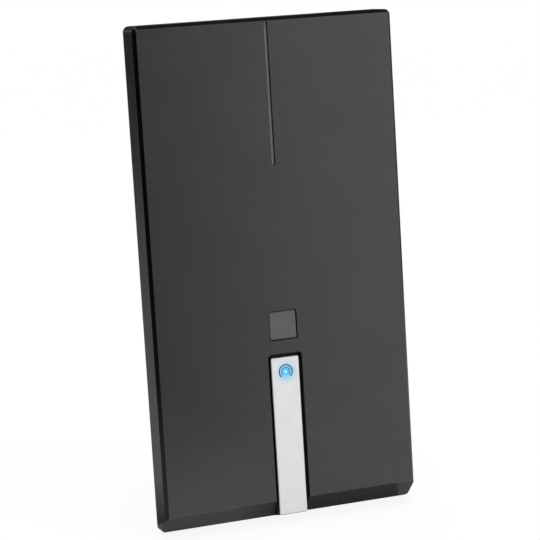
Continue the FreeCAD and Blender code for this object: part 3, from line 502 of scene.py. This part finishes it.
def distance(tree, across, upward):
    """How far a point lies from the middle that its two offsets are counted from."""
    squares = [maths(tree, "POWER", offset, 2) for offset in (across, upward)]
    return maths(tree, "SQRT", maths(tree, "ADD", *squares))


silver_trim, tree, shader = new_finish("silver_trim", Specular_IOR_Level=0.3, Emission_Strength=1.0)
place = panel_place(tree)
flakes = grouped(tree, lacquer_flakes, {"Place": place, "Size": 0.22})
silver = between(tree, lacquer_tone(tree, flakes), SILVER_DARK, SILVER_LIGHT)
silver = between(tree, flakes["Sparkle"], silver, grey(0.88))
x, y, z = put(tree, "ShaderNodeSeparateXYZ", {0: place}).outputs
# The strip's lower rim is painted dark as painted shade, where the rim turns away from the light.
silver = between(tree, remap(tree, y, *SHADED_LOWER_RIM), silver, grey(0.16))
across = maths(tree, "SUBTRACT", x, SYMBOL_X + POOL_SHIFT)
upward = maths(tree, "SUBTRACT", y, SYMBOL_Y)
# Below the middle the pool reaches further, so heights there count for less.
upward = maths(tree, "MULTIPLY", upward, remap(tree, upward, -1.0, 1.0, 0.95, 1.0))
on_front = remap(tree, z, STRIP_FRONT - 0.25, STRIP_FRONT - 0.05)
pool = maths(tree, "MULTIPLY", remap(tree, distance(tree, across, upward), POOL_EDGE, POOL_CORE), on_front)
pool = maths(tree, "POWER", pool, POOL_FALL)
tree.links.new(between(tree, pool, silver, LIT_SILVER), shader.inputs["Base Color"])
tree.links.new(between(tree, pool, grey(0.0), GLOW_BLUE), shader.inputs["Emission Color"])
tree.links.new(remap(tree, flakes["Flake"], 0, 1, 0.42, 0.30), shader.inputs["Roughness"])
tree.links.new(remap(tree, flakes["Flake"], 0, 1, 0.0, 0.12), shader.inputs["Metallic"])
raise_bumps(tree, shader, flakes["Flake"], 0.12, 0.02)
print("silver_trim: glow round", (SYMBOL_X, SYMBOL_Y), "mm")

# %% [markdown]
# The badge plate and the accent line have the same lacquer in a darker grey, so one function serves both.

# %% Finish: grey lacquer
def grey_lacquer(name, dark, light):
    material, tree, shader = new_finish(name, Specular_IOR_Level=0.3)
    flakes = grouped(tree, lacquer_flakes, {"Place": panel_place(tree), "Size": 0.18})
    colour = between(tree, lacquer_tone(tree, flakes), grey(dark, 1.02), grey(light, 1.02))
    colour = between(tree, flakes["Sparkle"], colour, grey(light * 1.6))
    tree.links.new(colour, shader.inputs["Base Color"])
    tree.links.new(remap(tree, flakes["Flake"], 0, 1, 0.5, 0.38), shader.inputs["Roughness"])
    raise_bumps(tree, shader, flakes["Flake"], 0.12, 0.02)
    return material


badge_grey = grey_lacquer("badge_grey", 0.090, 0.107)
accent_grey = grey_lacquer("accent_grey", 0.150, 0.182)
print("badge_grey and accent_grey")

# %% [markdown]
# Metals: nickel on the sockets, spring metal on the contact, blackened and ground steel on screws and
# pin, tin on the shielding can, copper on the aerial sheets. Each is a metallic shader that the shared
# skin makes duller where it is tarnished and streaky along the way it was drawn.

# %% Finish: metals
def metal(name, dull, bright, line_mm, rough, shiny, bump=0.15):
    material, tree, shader = new_finish(name, Metallic=1.0)
    skin = grouped(tree, metal_skin, {"Place": panel_place(tree), "Size": line_mm})
    lines = maths(tree, "MULTIPLY", skin["Lines"], 0.4)
    tarnish = maths(tree, "MULTIPLY", remap(tree, skin["Tarnish"], 0.35, 0.65), 0.6)
    tone = maths(tree, "ADD", lines, tarnish)
    tree.links.new(between(tree, tone, bright, dull), shader.inputs["Base Color"])
    tree.links.new(remap(tree, tone, 0.1, 0.9, shiny, rough), shader.inputs["Roughness"])
    raise_bumps(tree, shader, skin["Lines"], bump, 0.02)
    return material


# Each has a dull and a bright colour, the width of its lines in mm, and its roughness, dull and bright.
nickel = metal("nickel", (0.50, 0.48, 0.44, 1), (0.68, 0.66, 0.61, 1), 0.12, 0.36, 0.18)
spring_metal = metal("spring_metal", (0.55, 0.40, 0.18, 1), (0.80, 0.62, 0.32, 1), 0.1, 0.36, 0.2)
black_steel = metal("black_steel", grey(0.035), grey(0.075, 1.03), 0.1, 0.5, 0.34)
ground_steel = metal("ground_steel", grey(0.42, 1.02), grey(0.60, 1.02), 0.08, 0.4, 0.22)
tinplate = metal("tinplate", grey(0.48, 1.01), grey(0.66, 1.02), 0.3, 0.42, 0.26)
copper = metal("copper", (0.48, 0.20, 0.11, 1), (0.78, 0.42, 0.26, 1), 0.4, 0.42, 0.24)
print("six metals")

# %% [markdown]
# Rubber is the dullest surface here: black, faintly dusty, with a fine leathery grain.

# %% Finish: rubber
rubber, tree, shader = new_finish("rubber", Specular_IOR_Level=0.2)
place = panel_place(tree)
grain = grouped(tree, moulded_grain, {"Place": place, "Size": 0.8})
dust = remap(tree, noise(tree, place, 0.4, detail=5.0, rough=0.65), 0.45, 0.75)
tree.links.new(between(tree, dust, grey(0.012), grey(0.032)), shader.inputs["Base Color"])
tree.links.new(remap(tree, grain["Height"], 0, 0.6, 0.92, 0.78), shader.inputs["Roughness"])
raise_bumps(tree, shader, grain["Height"], 0.5, 0.1)
print("rubber ready")

# %% [markdown]
# Inside the case are a green board with its tracks, a sintered core and the two clear pieces of the
# light. They are seen only if the case is opened, yet each gets its own finish.

# %% Finish: board, core and light pieces
RESIST_DARK, RESIST_LIGHT = (0.012, 0.085, 0.032, 1), (0.020, 0.120, 0.048, 1)
TRACK_GREEN = (0.045, 0.200, 0.080, 1)
board_green, tree, shader = new_finish("board_green", Specular_IOR_Level=0.5)
place = panel_place(tree)
bricks = put(tree, "ShaderNodeTexBrick", {
    "Vector": place, "Scale": 0.12, "Mortar Size": 0.05, "Mortar Smooth": 0.2,
    "Color1": grey(0.0), "Color2": grey(0.0), "Mortar": grey(1.0),
})
tracks = bricks.outputs["Color"]
resist = between(tree, noise(tree, place, 0.5, detail=3.0), RESIST_DARK, RESIST_LIGHT)
tree.links.new(between(tree, tracks, resist, TRACK_GREEN), shader.inputs["Base Color"])
tree.links.new(remap(tree, noise(tree, place, 2.0), 0.3, 0.7, 0.3, 0.45), shader.inputs["Roughness"])
raise_bumps(tree, shader, tracks, 0.4, 0.05)

core_grey, tree, shader = new_finish("core_grey", Specular_IOR_Level=0.4)
place = panel_place(tree)
sinter = grouped(tree, moulded_grain, {"Place": place, "Size": 0.3})
tree.links.new(between(tree, sinter["Speck"], grey(0.05), grey(0.10, 1.04)), shader.inputs["Base Color"])
tree.links.new(remap(tree, sinter["Height"], 0, 0.6, 0.75, 0.55), shader.inputs["Roughness"])
raise_bumps(tree, shader, sinter["Height"], 0.5, 0.05)


def clear_piece(name, thin, thick, light):
    """Milky clear plastic, lit from within by the lamp's colour."""
    material, tree, shader = new_finish(name, Transmission_Weight=0.5, IOR=1.49, Emission_Strength=0.4)
    haze = noise(tree, panel_place(tree), 0.8, detail=3.0, rough=0.6)
    tree.links.new(between(tree, haze, thin, thick), shader.inputs["Base Color"])
    tree.links.new(between(tree, haze, light, grey(0.0)), shader.inputs["Emission Color"])
    tree.links.new(remap(tree, haze, 0.3, 0.7, 0.2, 0.4), shader.inputs["Roughness"])
    return material


milky_guide = clear_piece("milky_guide", (0.72, 0.80, 0.88, 1), (0.80, 0.86, 0.92, 1), GLOW_BLUE)
lamp_resin = clear_piece("lamp_resin", (0.30, 0.55, 0.85, 1), (0.45, 0.70, 0.95, 1), GLOW_BLUE)
print("board_green, core_grey, milky_guide and lamp_resin")

# %% [markdown]
# Now every solid gets its finish. A solid's mesh stays as it is; only its material slots change.

# %% Dress the solids
FINISHES = {
    "front_cover": front_shell, "rear_cover": rear_shell, "trim_strip": silver_trim,
    "strip_carrier": carrier_black, "badge_plate": badge_grey, "accent_inlay": accent_grey,
    "light_guide": milky_guide, "indicator_led": lamp_resin, "antenna_board": board_green,
    "radiator_left": copper, "radiator_right": copper, "balun_core": core_grey,
    "amplifier_shield": tinplate, "amplifier_chip": chip_epoxy, "coax_socket": nickel,
    "coax_insulator": socket_white, "coax_contact": spring_metal, "power_jack": jack_black,
    "power_jack_pin": nickel, "cover_screws": black_steel, "stand_leg": leg_shell,
    "stand_pin": ground_steel, "leg_pad": rubber, "base_feet": rubber,
}
for name, finish in FINISHES.items():
    if not nodes[name].material_slots:
        nodes[name].data.materials.append(finish)
    for slot in nodes[name].material_slots:
        slot.material = finish
print(len(FINISHES), "solids dressed")

# %% [markdown]
# No edge is perfectly sharp. On the strip, the badge plate and the leg's pad a narrow Bevel rounds the
# edges that turn by more than 28 degrees, so that they catch a thin line of light. A solid comes as loose
# triangles, so a Weld joins them first, and a Decimate makes one face of those that lie flat together:
# with the diagonals gone, the bevel has room to run.

# %% Ease the edges
EASED = {"trim_strip": 0.2, "badge_plate": 0.1, "leg_pad": 0.3}


def ease_edges(solid, width_mm):
    weld = solid.modifiers.new("weld", "WELD")
    weld.merge_threshold = 0.001 * MM
    join = solid.modifiers.new("join", "DECIMATE")
    join.decimate_type = "DISSOLVE"
    join.angle_limit = math.radians(0.5)
    bevel = solid.modifiers.new("ease", "BEVEL")
    bevel.width = width_mm * MM
    bevel.segments = 2
    bevel.limit_method = "ANGLE"
    bevel.angle_limit = math.radians(28)
    flatten = solid.modifiers.new("flatten", "WEIGHTED_NORMAL")
    flatten.mode = "FACE_AREA"
    flatten.weight = 100


for name, width in EASED.items():
    ease_edges(nodes[name], width)
print("edges eased on", ", ".join(EASED))

# %% [markdown]
# Pieces that repeat or follow a rule are grown by Geometry Nodes. One helper opens a tree with its named
# inputs, and one joins what was grown and sets its finish. The third runs a tree on a seed mesh, keeps the
# outcome as a plain mesh, carries that mesh to its place and removes the seed.

# %% Helpers for Geometry Nodes
SOCKETS = {float: "NodeSocketFloat", int: "NodeSocketInt", bpy.types.Material: "NodeSocketMaterial"}


def open_tree(name, sizes):
    """Open a tree with one named input for each size, count or finish."""
    tree = bpy.data.node_groups.new(name, "GeometryNodeTree")
    tree.interface.new_socket("Seed", in_out="INPUT", socket_type="NodeSocketGeometry")
    for label, value in sizes.items():
        tree.interface.new_socket(label, in_out="INPUT", socket_type=SOCKETS[type(value)])
    tree.interface.new_socket("Grown", in_out="OUTPUT", socket_type="NodeSocketGeometry")
    return tree, tree.nodes.new("NodeGroupInput").outputs, tree.nodes.new("NodeGroupOutput").inputs


def close_tree(tree, given, result, pieces):
    """Join the grown pieces, make instances real and set the finish."""
    joined = put(tree, "GeometryNodeJoinGeometry")
    for piece in pieces:
        tree.links.new(piece, joined.inputs[0])
    real = put(tree, "GeometryNodeRealizeInstances", {0: joined.outputs[0]}).outputs[0]
    dressed = put(tree, "GeometryNodeSetMaterial", {"Geometry": real, "Material": given["Finish"]})
    tree.links.new(dressed.outputs[0], result[0])


def grow(name, tree, seed, sizes, to_place):
    """Run a tree on a seed mesh and return a finished object whose place is in its mesh."""
    source = bpy.data.objects.new(f"{name}_seed", seed)
    scene.collection.objects.link(source)
    modifier = source.modifiers.new("grow", "NODES")
    modifier.node_group = tree
    for item in tree.interface.items_tree:
        if item.in_out == "INPUT" and item.name in sizes:
            modifier[item.identifier] = sizes[item.name]
    grown = source.evaluated_get(bpy.context.evaluated_depsgraph_get())
    mesh = bpy.data.meshes.new_from_object(grown)
    source.modifiers.clear()
    bpy.data.objects.remove(source)
    mesh.name = name
    mesh.transform(to_place)
    piece = bpy.data.objects.new(name, mesh)
    scene.collection.objects.link(piece)
    print(name, "has", len(mesh.polygons), "faces")
    return piece


print("Geometry Nodes helpers ready")

# %% [markdown]
# The symbol on the strip is printed in dark slate ink. A thin print is mottled, and near the symbol's
# middle the lamp's light comes through it a little, so there the ink glows.

# %% Finish: slate ink
SLATE_DARK, SLATE_LIGHT = (0.032, 0.070, 0.105, 1), (0.046, 0.092, 0.135, 1)
GLOW_ENDS, GLOW_FULL = 3.6, 2.4
INK_GLOW = (0.02, 0.17, 0.32, 1)


def from_symbol(tree, place):
    """How far a point of the strip lies from the symbol's middle, in millimetres."""
    x, y, _ = put(tree, "ShaderNodeSeparateXYZ", {0: place}).outputs
    across = maths(tree, "SUBTRACT", x, SYMBOL_X)
    upward = maths(tree, "SUBTRACT", y, SYMBOL_Y)
    return distance(tree, across, upward)


ink_slate, tree, shader = new_finish("ink_slate", Specular_IOR_Level=0.3, Emission_Strength=1.0)
place = panel_place(tree)
mottle = remap(tree, noise(tree, place, 3.0, detail=3.0, rough=0.6), 0.3, 0.7)
glow_through = remap(tree, from_symbol(tree, place), GLOW_ENDS, GLOW_FULL)
tree.links.new(between(tree, mottle, SLATE_DARK, SLATE_LIGHT), shader.inputs["Base Color"])
tree.links.new(between(tree, glow_through, grey(0.0), INK_GLOW), shader.inputs["Emission Color"])
tree.links.new(remap(tree, mottle, 0, 1, 0.5, 0.4), shader.inputs["Roughness"])
print("ink_slate ready")

# %% [markdown]
# The symbol is the common sign for a wireless signal: a dot with two arcs over it. The arcs could be drawn
# in the strip's material, but a print has a thickness. So each arc is a curve swept with a flat profile,
# and the ink stands a hair proud.

# %% Printed symbol
SYMBOL = {
    "Outer Radius": 3.95, "Inner Radius": 2.45, "Stroke": 0.7, "Ink": 0.05, "Opening": math.radians(43),
    "Finish": ink_slate,
}
ARC_POINTS = 72
tree, given, result = open_tree("signal_arcs", SYMBOL)
flat_profile = put(tree, "GeometryNodeCurvePrimitiveQuadrilateral", {
    "Width": given["Stroke"], "Height": given["Ink"],
}).outputs[0]
start = maths(tree, "SUBTRACT", given["Opening"], math.pi / 2)
sweep = maths(tree, "SUBTRACT", 2 * math.pi, maths(tree, "MULTIPLY", given["Opening"], 2.0))
arcs = []
for label in ("Outer Radius", "Inner Radius"):
    arc = put(tree, "GeometryNodeCurveArc", {
        "Resolution": ARC_POINTS, "Radius": given[label], "Start Angle": start, "Sweep Angle": sweep,
    }).outputs["Curve"]
    stroke = put(tree, "GeometryNodeCurveToMesh", {
        "Curve": arc, "Profile Curve": flat_profile, "Fill Caps": True,
    }).outputs[0]
    arcs.append(stroke)
close_tree(tree, given, result, arcs)
ink_height = Matrix.Translation((SYMBOL_X, SYMBOL_Y, STRIP_FRONT + SYMBOL["Ink"] / 2))
signal_arcs = grow("signal_arcs", tree, bpy.data.meshes.new("arcs"), SYMBOL, on_panel @ ink_height)
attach(signal_arcs, "panel")

# %% [markdown]
# Round pieces are turned, as on a lathe. One helper makes a ring of points for each step of an outline and
# joins neighbouring rings; an outline that starts or ends on the axis closes there. The other keeps the
# finished body as a mesh. A Screw modifier could turn an outline too, but here more is added to the body
# before it is kept.

# %% Helpers for turned pieces
CREASE = math.radians(32)


def turn_outline(body, outline, sides):
    """Add the surface that an outline of (radius, height) pairs sweeps round the z axis."""
    turns = [2 * math.pi * side / sides for side in range(sides)]
    rings = []
    for radius, height in outline:
        points = [(radius * math.cos(turn), radius * math.sin(turn), height) for turn in turns]
        rings.append([body.verts.new(point) for point in (points if radius else points[:1])])
    for low, high in zip(rings, rings[1:]):
        for side in range(sides):
            after = (side + 1) % sides
            corners = [low[side % len(low)], low[after % len(low)]]
            corners += [high[after % len(high)], high[side % len(high)]]
            body.faces.new(list(dict.fromkeys(corners)))
    return rings


def keep_mesh(body, name):
    """Turn a finished body into a mesh that is shaded smooth, except across its sharp edges."""
    bmesh.ops.recalc_face_normals(body, faces=body.faces)
    for face in body.faces:
        face.smooth = True
    mesh = bpy.data.meshes.new(name)
    body.to_mesh(mesh)
    body.free()
    mesh.set_sharp_from_angle(angle=CREASE)
    return mesh


print("lathe ready")

# %% [markdown]
# The dot in the middle of the symbol is the clear spot where the lamp itself shows, almost white. It is a
# shallow dome, turned like a bead, and its light turns bluer and weaker towards the rim.

# %% Light spot
SPOT_RADIUS, SPOT_RISE, SPOT_STEPS, SPOT_SIDES = 0.72, 0.12, 5, 40
spot_glow, tree, shader = new_finish(
    "spot_glow", Specular_IOR_Level=0.4, Emission_Strength=1.0, Roughness=0.25,
)
rim = remap(tree, from_symbol(tree, panel_place(tree)), 0.2 * SPOT_RADIUS, SPOT_RADIUS)
resin = between(tree, rim, (0.30, 0.36, 0.40, 1), (0.10, 0.25, 0.35, 1))
lamp_light = between(tree, rim, (0.64, 0.80, 0.87, 1), (0.22, 0.55, 0.75, 1))
tree.links.new(resin, shader.inputs["Base Color"])
tree.links.new(lamp_light, shader.inputs["Emission Color"])

slants = [step / SPOT_STEPS * math.pi / 2 for step in range(SPOT_STEPS)]
dome_curve = [(SPOT_RADIUS * math.cos(slant), SPOT_RISE * math.sin(slant)) for slant in slants]
dome = bmesh.new()
turn_outline(dome, [(0, 0), *dome_curve, (0, SPOT_RISE)], SPOT_SIDES)
spot_mesh = keep_mesh(dome, "light_spot")
spot_mesh.transform(on_panel @ Matrix.Translation((SYMBOL_X, SYMBOL_Y, STRIP_FRONT)))
spot_mesh.materials.append(spot_glow)
light_spot = bpy.data.objects.new("light_spot", spot_mesh)
scene.collection.objects.link(light_spot)
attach(light_spot, "panel")
print("light_spot", 2 * SPOT_RADIUS, "mm across")

# %% [markdown]
# A screw thread is a ridge that winds round a core. In Geometry Nodes that is a spiral curve swept with a
# diamond profile: its outer half is the ridge and its inner half is buried in the core. The curve's radius
# shrinks at both ends, so that the ridge runs out as a cut thread does. The screws and the aerial socket
# both need one, so a function adds it to a tree.

# %% Helper: thread
STEPS_PER_TURN = 48
RUN_OUT, THIN_END = 0.05, 0.05
RIDGE_HALF = 0.46


def wind_thread(tree, given):
    """Add a thread of the tree's own sizes that rises from its start along z."""
    height = maths(tree, "MULTIPLY", given["Pitch"], given["Turns"])
    spiral = put(tree, "GeometryNodeCurveSpiral", {
        "Resolution": STEPS_PER_TURN, "Rotations": given["Turns"], "Start Radius": given["Core"],
        "End Radius": given["Core"], "Height": height,
    }).outputs[0]
    upright = put(tree, "GeometryNodeSetCurveNormal", {"Curve": spiral}, mode="Z_UP").outputs[0]
    along = put(tree, "GeometryNodeSplineParameter").outputs["Factor"]
    run_in = remap(tree, along, 0.0, RUN_OUT, THIN_END)
    run_out = remap(tree, along, 1.0, 1.0 - RUN_OUT, THIN_END)
    thickness = maths(tree, "MINIMUM", run_in, run_out)
    tapered = put(tree, "GeometryNodeSetCurveRadius", {"Curve": upright, "Radius": thickness}).outputs[0]
    half_pitch = maths(tree, "MULTIPLY", given["Pitch"], RIDGE_HALF)
    stretch = put(tree, "ShaderNodeCombineXYZ", {0: given["Depth"], 1: half_pitch, 2: 1.0}).outputs[0]
    diamond = put(tree, "GeometryNodeCurvePrimitiveCircle", {"Resolution": 4, "Radius": 1.0}).outputs[0]
    profile = put(tree, "GeometryNodeTransform", {"Geometry": diamond, "Scale": stretch}).outputs[0]
    ridge = put(tree, "GeometryNodeCurveToMesh", {
        "Curve": tapered, "Profile Curve": profile, "Fill Caps": True,
    }).outputs[0]
    crisp = put(tree, "GeometryNodeSetShadeSmooth", {"Geometry": ridge, "Shade Smooth": False}).outputs[0]
    rise = put(tree, "ShaderNodeCombineXYZ", {2: given["Start"]}).outputs[0]
    return put(tree, "GeometryNodeTransform", {"Geometry": crisp, "Translation": rise}).outputs[0]


print("thread helper ready")

# %% [markdown]
# Four pan-head screws with a cross recess hold the covers together from the back, each at the bottom of
# its round pocket. One screw is turned here from its outline: up the shank, round the rim of the head and
# over its dome to the crown, which stays open for the recess.

# %% Turn one cover screw
HEAD_RADIUS, HEAD_HEIGHT, CORE_RADIUS, SHANK_LENGTH = 2.75, 2.0, 1.0, 10.0
TIP_RADIUS, TIP_LENGTH, HEAD_EASE, RIM_HEIGHT, CROWN_RADIUS = 0.35, 1.4, 0.1, 0.55, 1.58
HEAD_DOME = [(2.68, 0.9), (2.5, 1.25), (2.25, 1.55), (1.95, 1.8), (1.65, 1.94)]
HEAD_SIDES = 48
screw = bmesh.new()
shank = [
    (0, -SHANK_LENGTH), (TIP_RADIUS, -SHANK_LENGTH),
    (CORE_RADIUS, TIP_LENGTH - SHANK_LENGTH), (CORE_RADIUS, 0),
]
head_rim = [(HEAD_RADIUS - HEAD_EASE, 0), (HEAD_RADIUS, HEAD_EASE), (HEAD_RADIUS, RIM_HEIGHT)]
screw_outline = shank + head_rim + HEAD_DOME + [(CROWN_RADIUS, HEAD_HEIGHT)]
crown = turn_outline(screw, screw_outline, HEAD_SIDES)[-1]
print("the screw's outline has", len(screw_outline), "points")

# %% [markdown]
# The recess is a cross whose walls run in towards the bottom, so that the driver wedges in it. A Boolean
# could cut it, but it leaves long thin triangles. Here the cross is laid into the open crown instead: one
# arm is turned four times for its mouth, a smaller copy is its bottom, and eight faces close the crown.

# %% Lay in the cross recess
CROSS_ARM, CROSS_HALF, CROSS_DEPTH, CROSS_TAPER = 1.5, 0.34, 1.1, 0.72
QUARTER, TIP_SPAN = HEAD_SIDES // 4, 2
arm = [(CROSS_ARM, -CROSS_HALF), (CROSS_ARM, CROSS_HALF), (CROSS_HALF, CROSS_HALF)]
cross = []
for quarter in range(4):
    cross += arm
    arm = [(-y, x) for x, y in arm]
mouth = [screw.verts.new((x, y, HEAD_HEIGHT)) for x, y in cross]
cross_floor = HEAD_HEIGHT - CROSS_DEPTH
bottom = [screw.verts.new((CROSS_TAPER * x, CROSS_TAPER * y, cross_floor)) for x, y in cross]
for step in range(len(cross)):
    after = (step + 1) % len(cross)
    screw.faces.new((mouth[step], mouth[after], bottom[after], bottom[step]))
screw.faces.new(bottom)
for quarter in range(4):
    steps = range(QUARTER * quarter - TIP_SPAN, QUARTER * (quarter + 1) - TIP_SPAN + 1)
    ahead = [crown[step % HEAD_SIDES] for step in steps]
    tip_low, tip_high, inner, next_tip = [mouth[(3 * quarter + step) % len(mouth)] for step in range(4)]
    screw.faces.new([tip_low, *ahead[:2 * TIP_SPAN + 1], tip_high])
    screw.faces.new([tip_high, *ahead[2 * TIP_SPAN:], next_tip, inner])
screw_mesh = keep_mesh(screw, "cover_screw")
print("one screw has", len(screw_mesh.polygons), "faces")

# %% [markdown]
# The four screws stand at the corners of an upright rectangle. They could be copied by hand, but a grid of
# two by two points does it in one tree: Geometry Nodes winds the thread round the screw and sets a copy at
# each point, every copy stopped at another angle, as a driver leaves them. The grown screws replace the
# plain ones among the solids.

# %% Set the four screws
SCREW_MIDDLE, SCREW_SEAT = 132.1, -15.8
SCREWS = {
    "Core": CORE_RADIUS, "Depth": 0.27, "Pitch": 0.9, "Turns": 8.0, "Start": -8.6,
    "Across": 132.0, "Upward": 263.8, "Seed Number": 7, "Finish": black_steel,
}
tree, given, result = open_tree("cover_screws", SCREWS)
whole = put(tree, "GeometryNodeJoinGeometry")
tree.links.new(given["Seed"], whole.inputs[0])
tree.links.new(wind_thread(tree, given), whole.inputs[0])
grid = put(tree, "GeometryNodeMeshGrid", {
    "Size X": given["Across"], "Size Y": given["Upward"], "Vertices X": 2, "Vertices Y": 2,
}).outputs["Mesh"]
# Input 1 is the highest value, here half a turn about the screw's axis.
turned = put(tree, "FunctionNodeRandomValue", {
    1: (0, 0, math.pi), "Seed": given["Seed Number"],
}, data_type="FLOAT_VECTOR").outputs[0]
set_out = put(tree, "GeometryNodeInstanceOnPoints", {
    "Points": grid, "Instance": whole.outputs[0], "Rotation": turned,
}).outputs[0]
close_tree(tree, given, result, [set_out])
to_back = Matrix.Translation((0, SCREW_MIDDLE, SCREW_SEAT)) @ Matrix.Rotation(math.pi, 4, "X")
back_screws = grow("back_screws", tree, screw_mesh, SCREWS, on_panel @ to_back)
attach(back_screws, "panel")
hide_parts("cover_screws")

# %% [markdown]
# The aerial lead screws onto a nickel-plated socket that points down into the bay. Its barrel is turned
# from one outline that runs down the outside, round the mouth and up the bore; a block behind the wall
# holds it, a box with eased edges.

# %% Barrel of the aerial socket
BARREL_MOUTH, SHOULDER, BORE_END, ROOT = 45.0, 54.0, 57.0, 57.5
BORE_RADIUS, NECK_RADIUS, BARREL_RADIUS, BARREL_SIDES = 3.56, 4.3, 4.45, 64
BLOCK_SIZE, BLOCK_MIDDLE, BLOCK_EASE = (12.0, 7.6, 11.0), (0, 1.1, 62.6), 0.3
barrel = bmesh.new()
barrel_outline = [
    (0, ROOT), (NECK_RADIUS, ROOT), (NECK_RADIUS, SHOULDER + 0.2), (BARREL_RADIUS, SHOULDER),
    (BARREL_RADIUS, BARREL_MOUTH + 0.35), (BARREL_RADIUS - 0.3, BARREL_MOUTH),
    (BORE_RADIUS + 0.2, BARREL_MOUTH), (BORE_RADIUS, BARREL_MOUTH + 0.25),
    (BORE_RADIUS, BORE_END), (0, BORE_END),
]
turn_outline(barrel, barrel_outline, BARREL_SIDES)
block = bmesh.ops.create_cube(barrel, size=1.0)["verts"]
bmesh.ops.scale(barrel, verts=block, vec=BLOCK_SIZE)
bmesh.ops.translate(barrel, verts=block, vec=BLOCK_MIDDLE)
block_edges = list(dict.fromkeys(edge for vert in block for edge in vert.link_edges))
bmesh.ops.bevel(barrel, geom=block_edges, offset=BLOCK_EASE, segments=2, affect="EDGES")
barrel_mesh = keep_mesh(barrel, "barrel")
print("the barrel has", len(barrel_mesh.polygons), "faces")

# %% [markdown]
# The socket's thread is the usual one for aerial sockets, 32 turns to the inch. The same helper winds it,
# and a matrix points the barrel down the panel, where the bay is.

# %% Aerial socket
BARREL_X, BARREL_DEPTH = 40.5, -11.5
INCH = 25.4
BARREL = {
    "Core": BARREL_RADIUS, "Depth": 0.31, "Pitch": INCH / 32, "Turns": 9.0, "Start": 46.0, "Finish": nickel,
}
tree, given, result = open_tree("aerial_socket", BARREL)
close_tree(tree, given, result, [given["Seed"], wind_thread(tree, given)])
to_bay = Matrix.Translation((BARREL_X, 0, BARREL_DEPTH)) @ Matrix.Rotation(-math.pi / 2, 4, "X")
aerial_socket = grow("aerial_socket", tree, barrel_mesh, BARREL, on_panel @ to_bay)
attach(aerial_socket, "panel")
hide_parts("coax_socket")
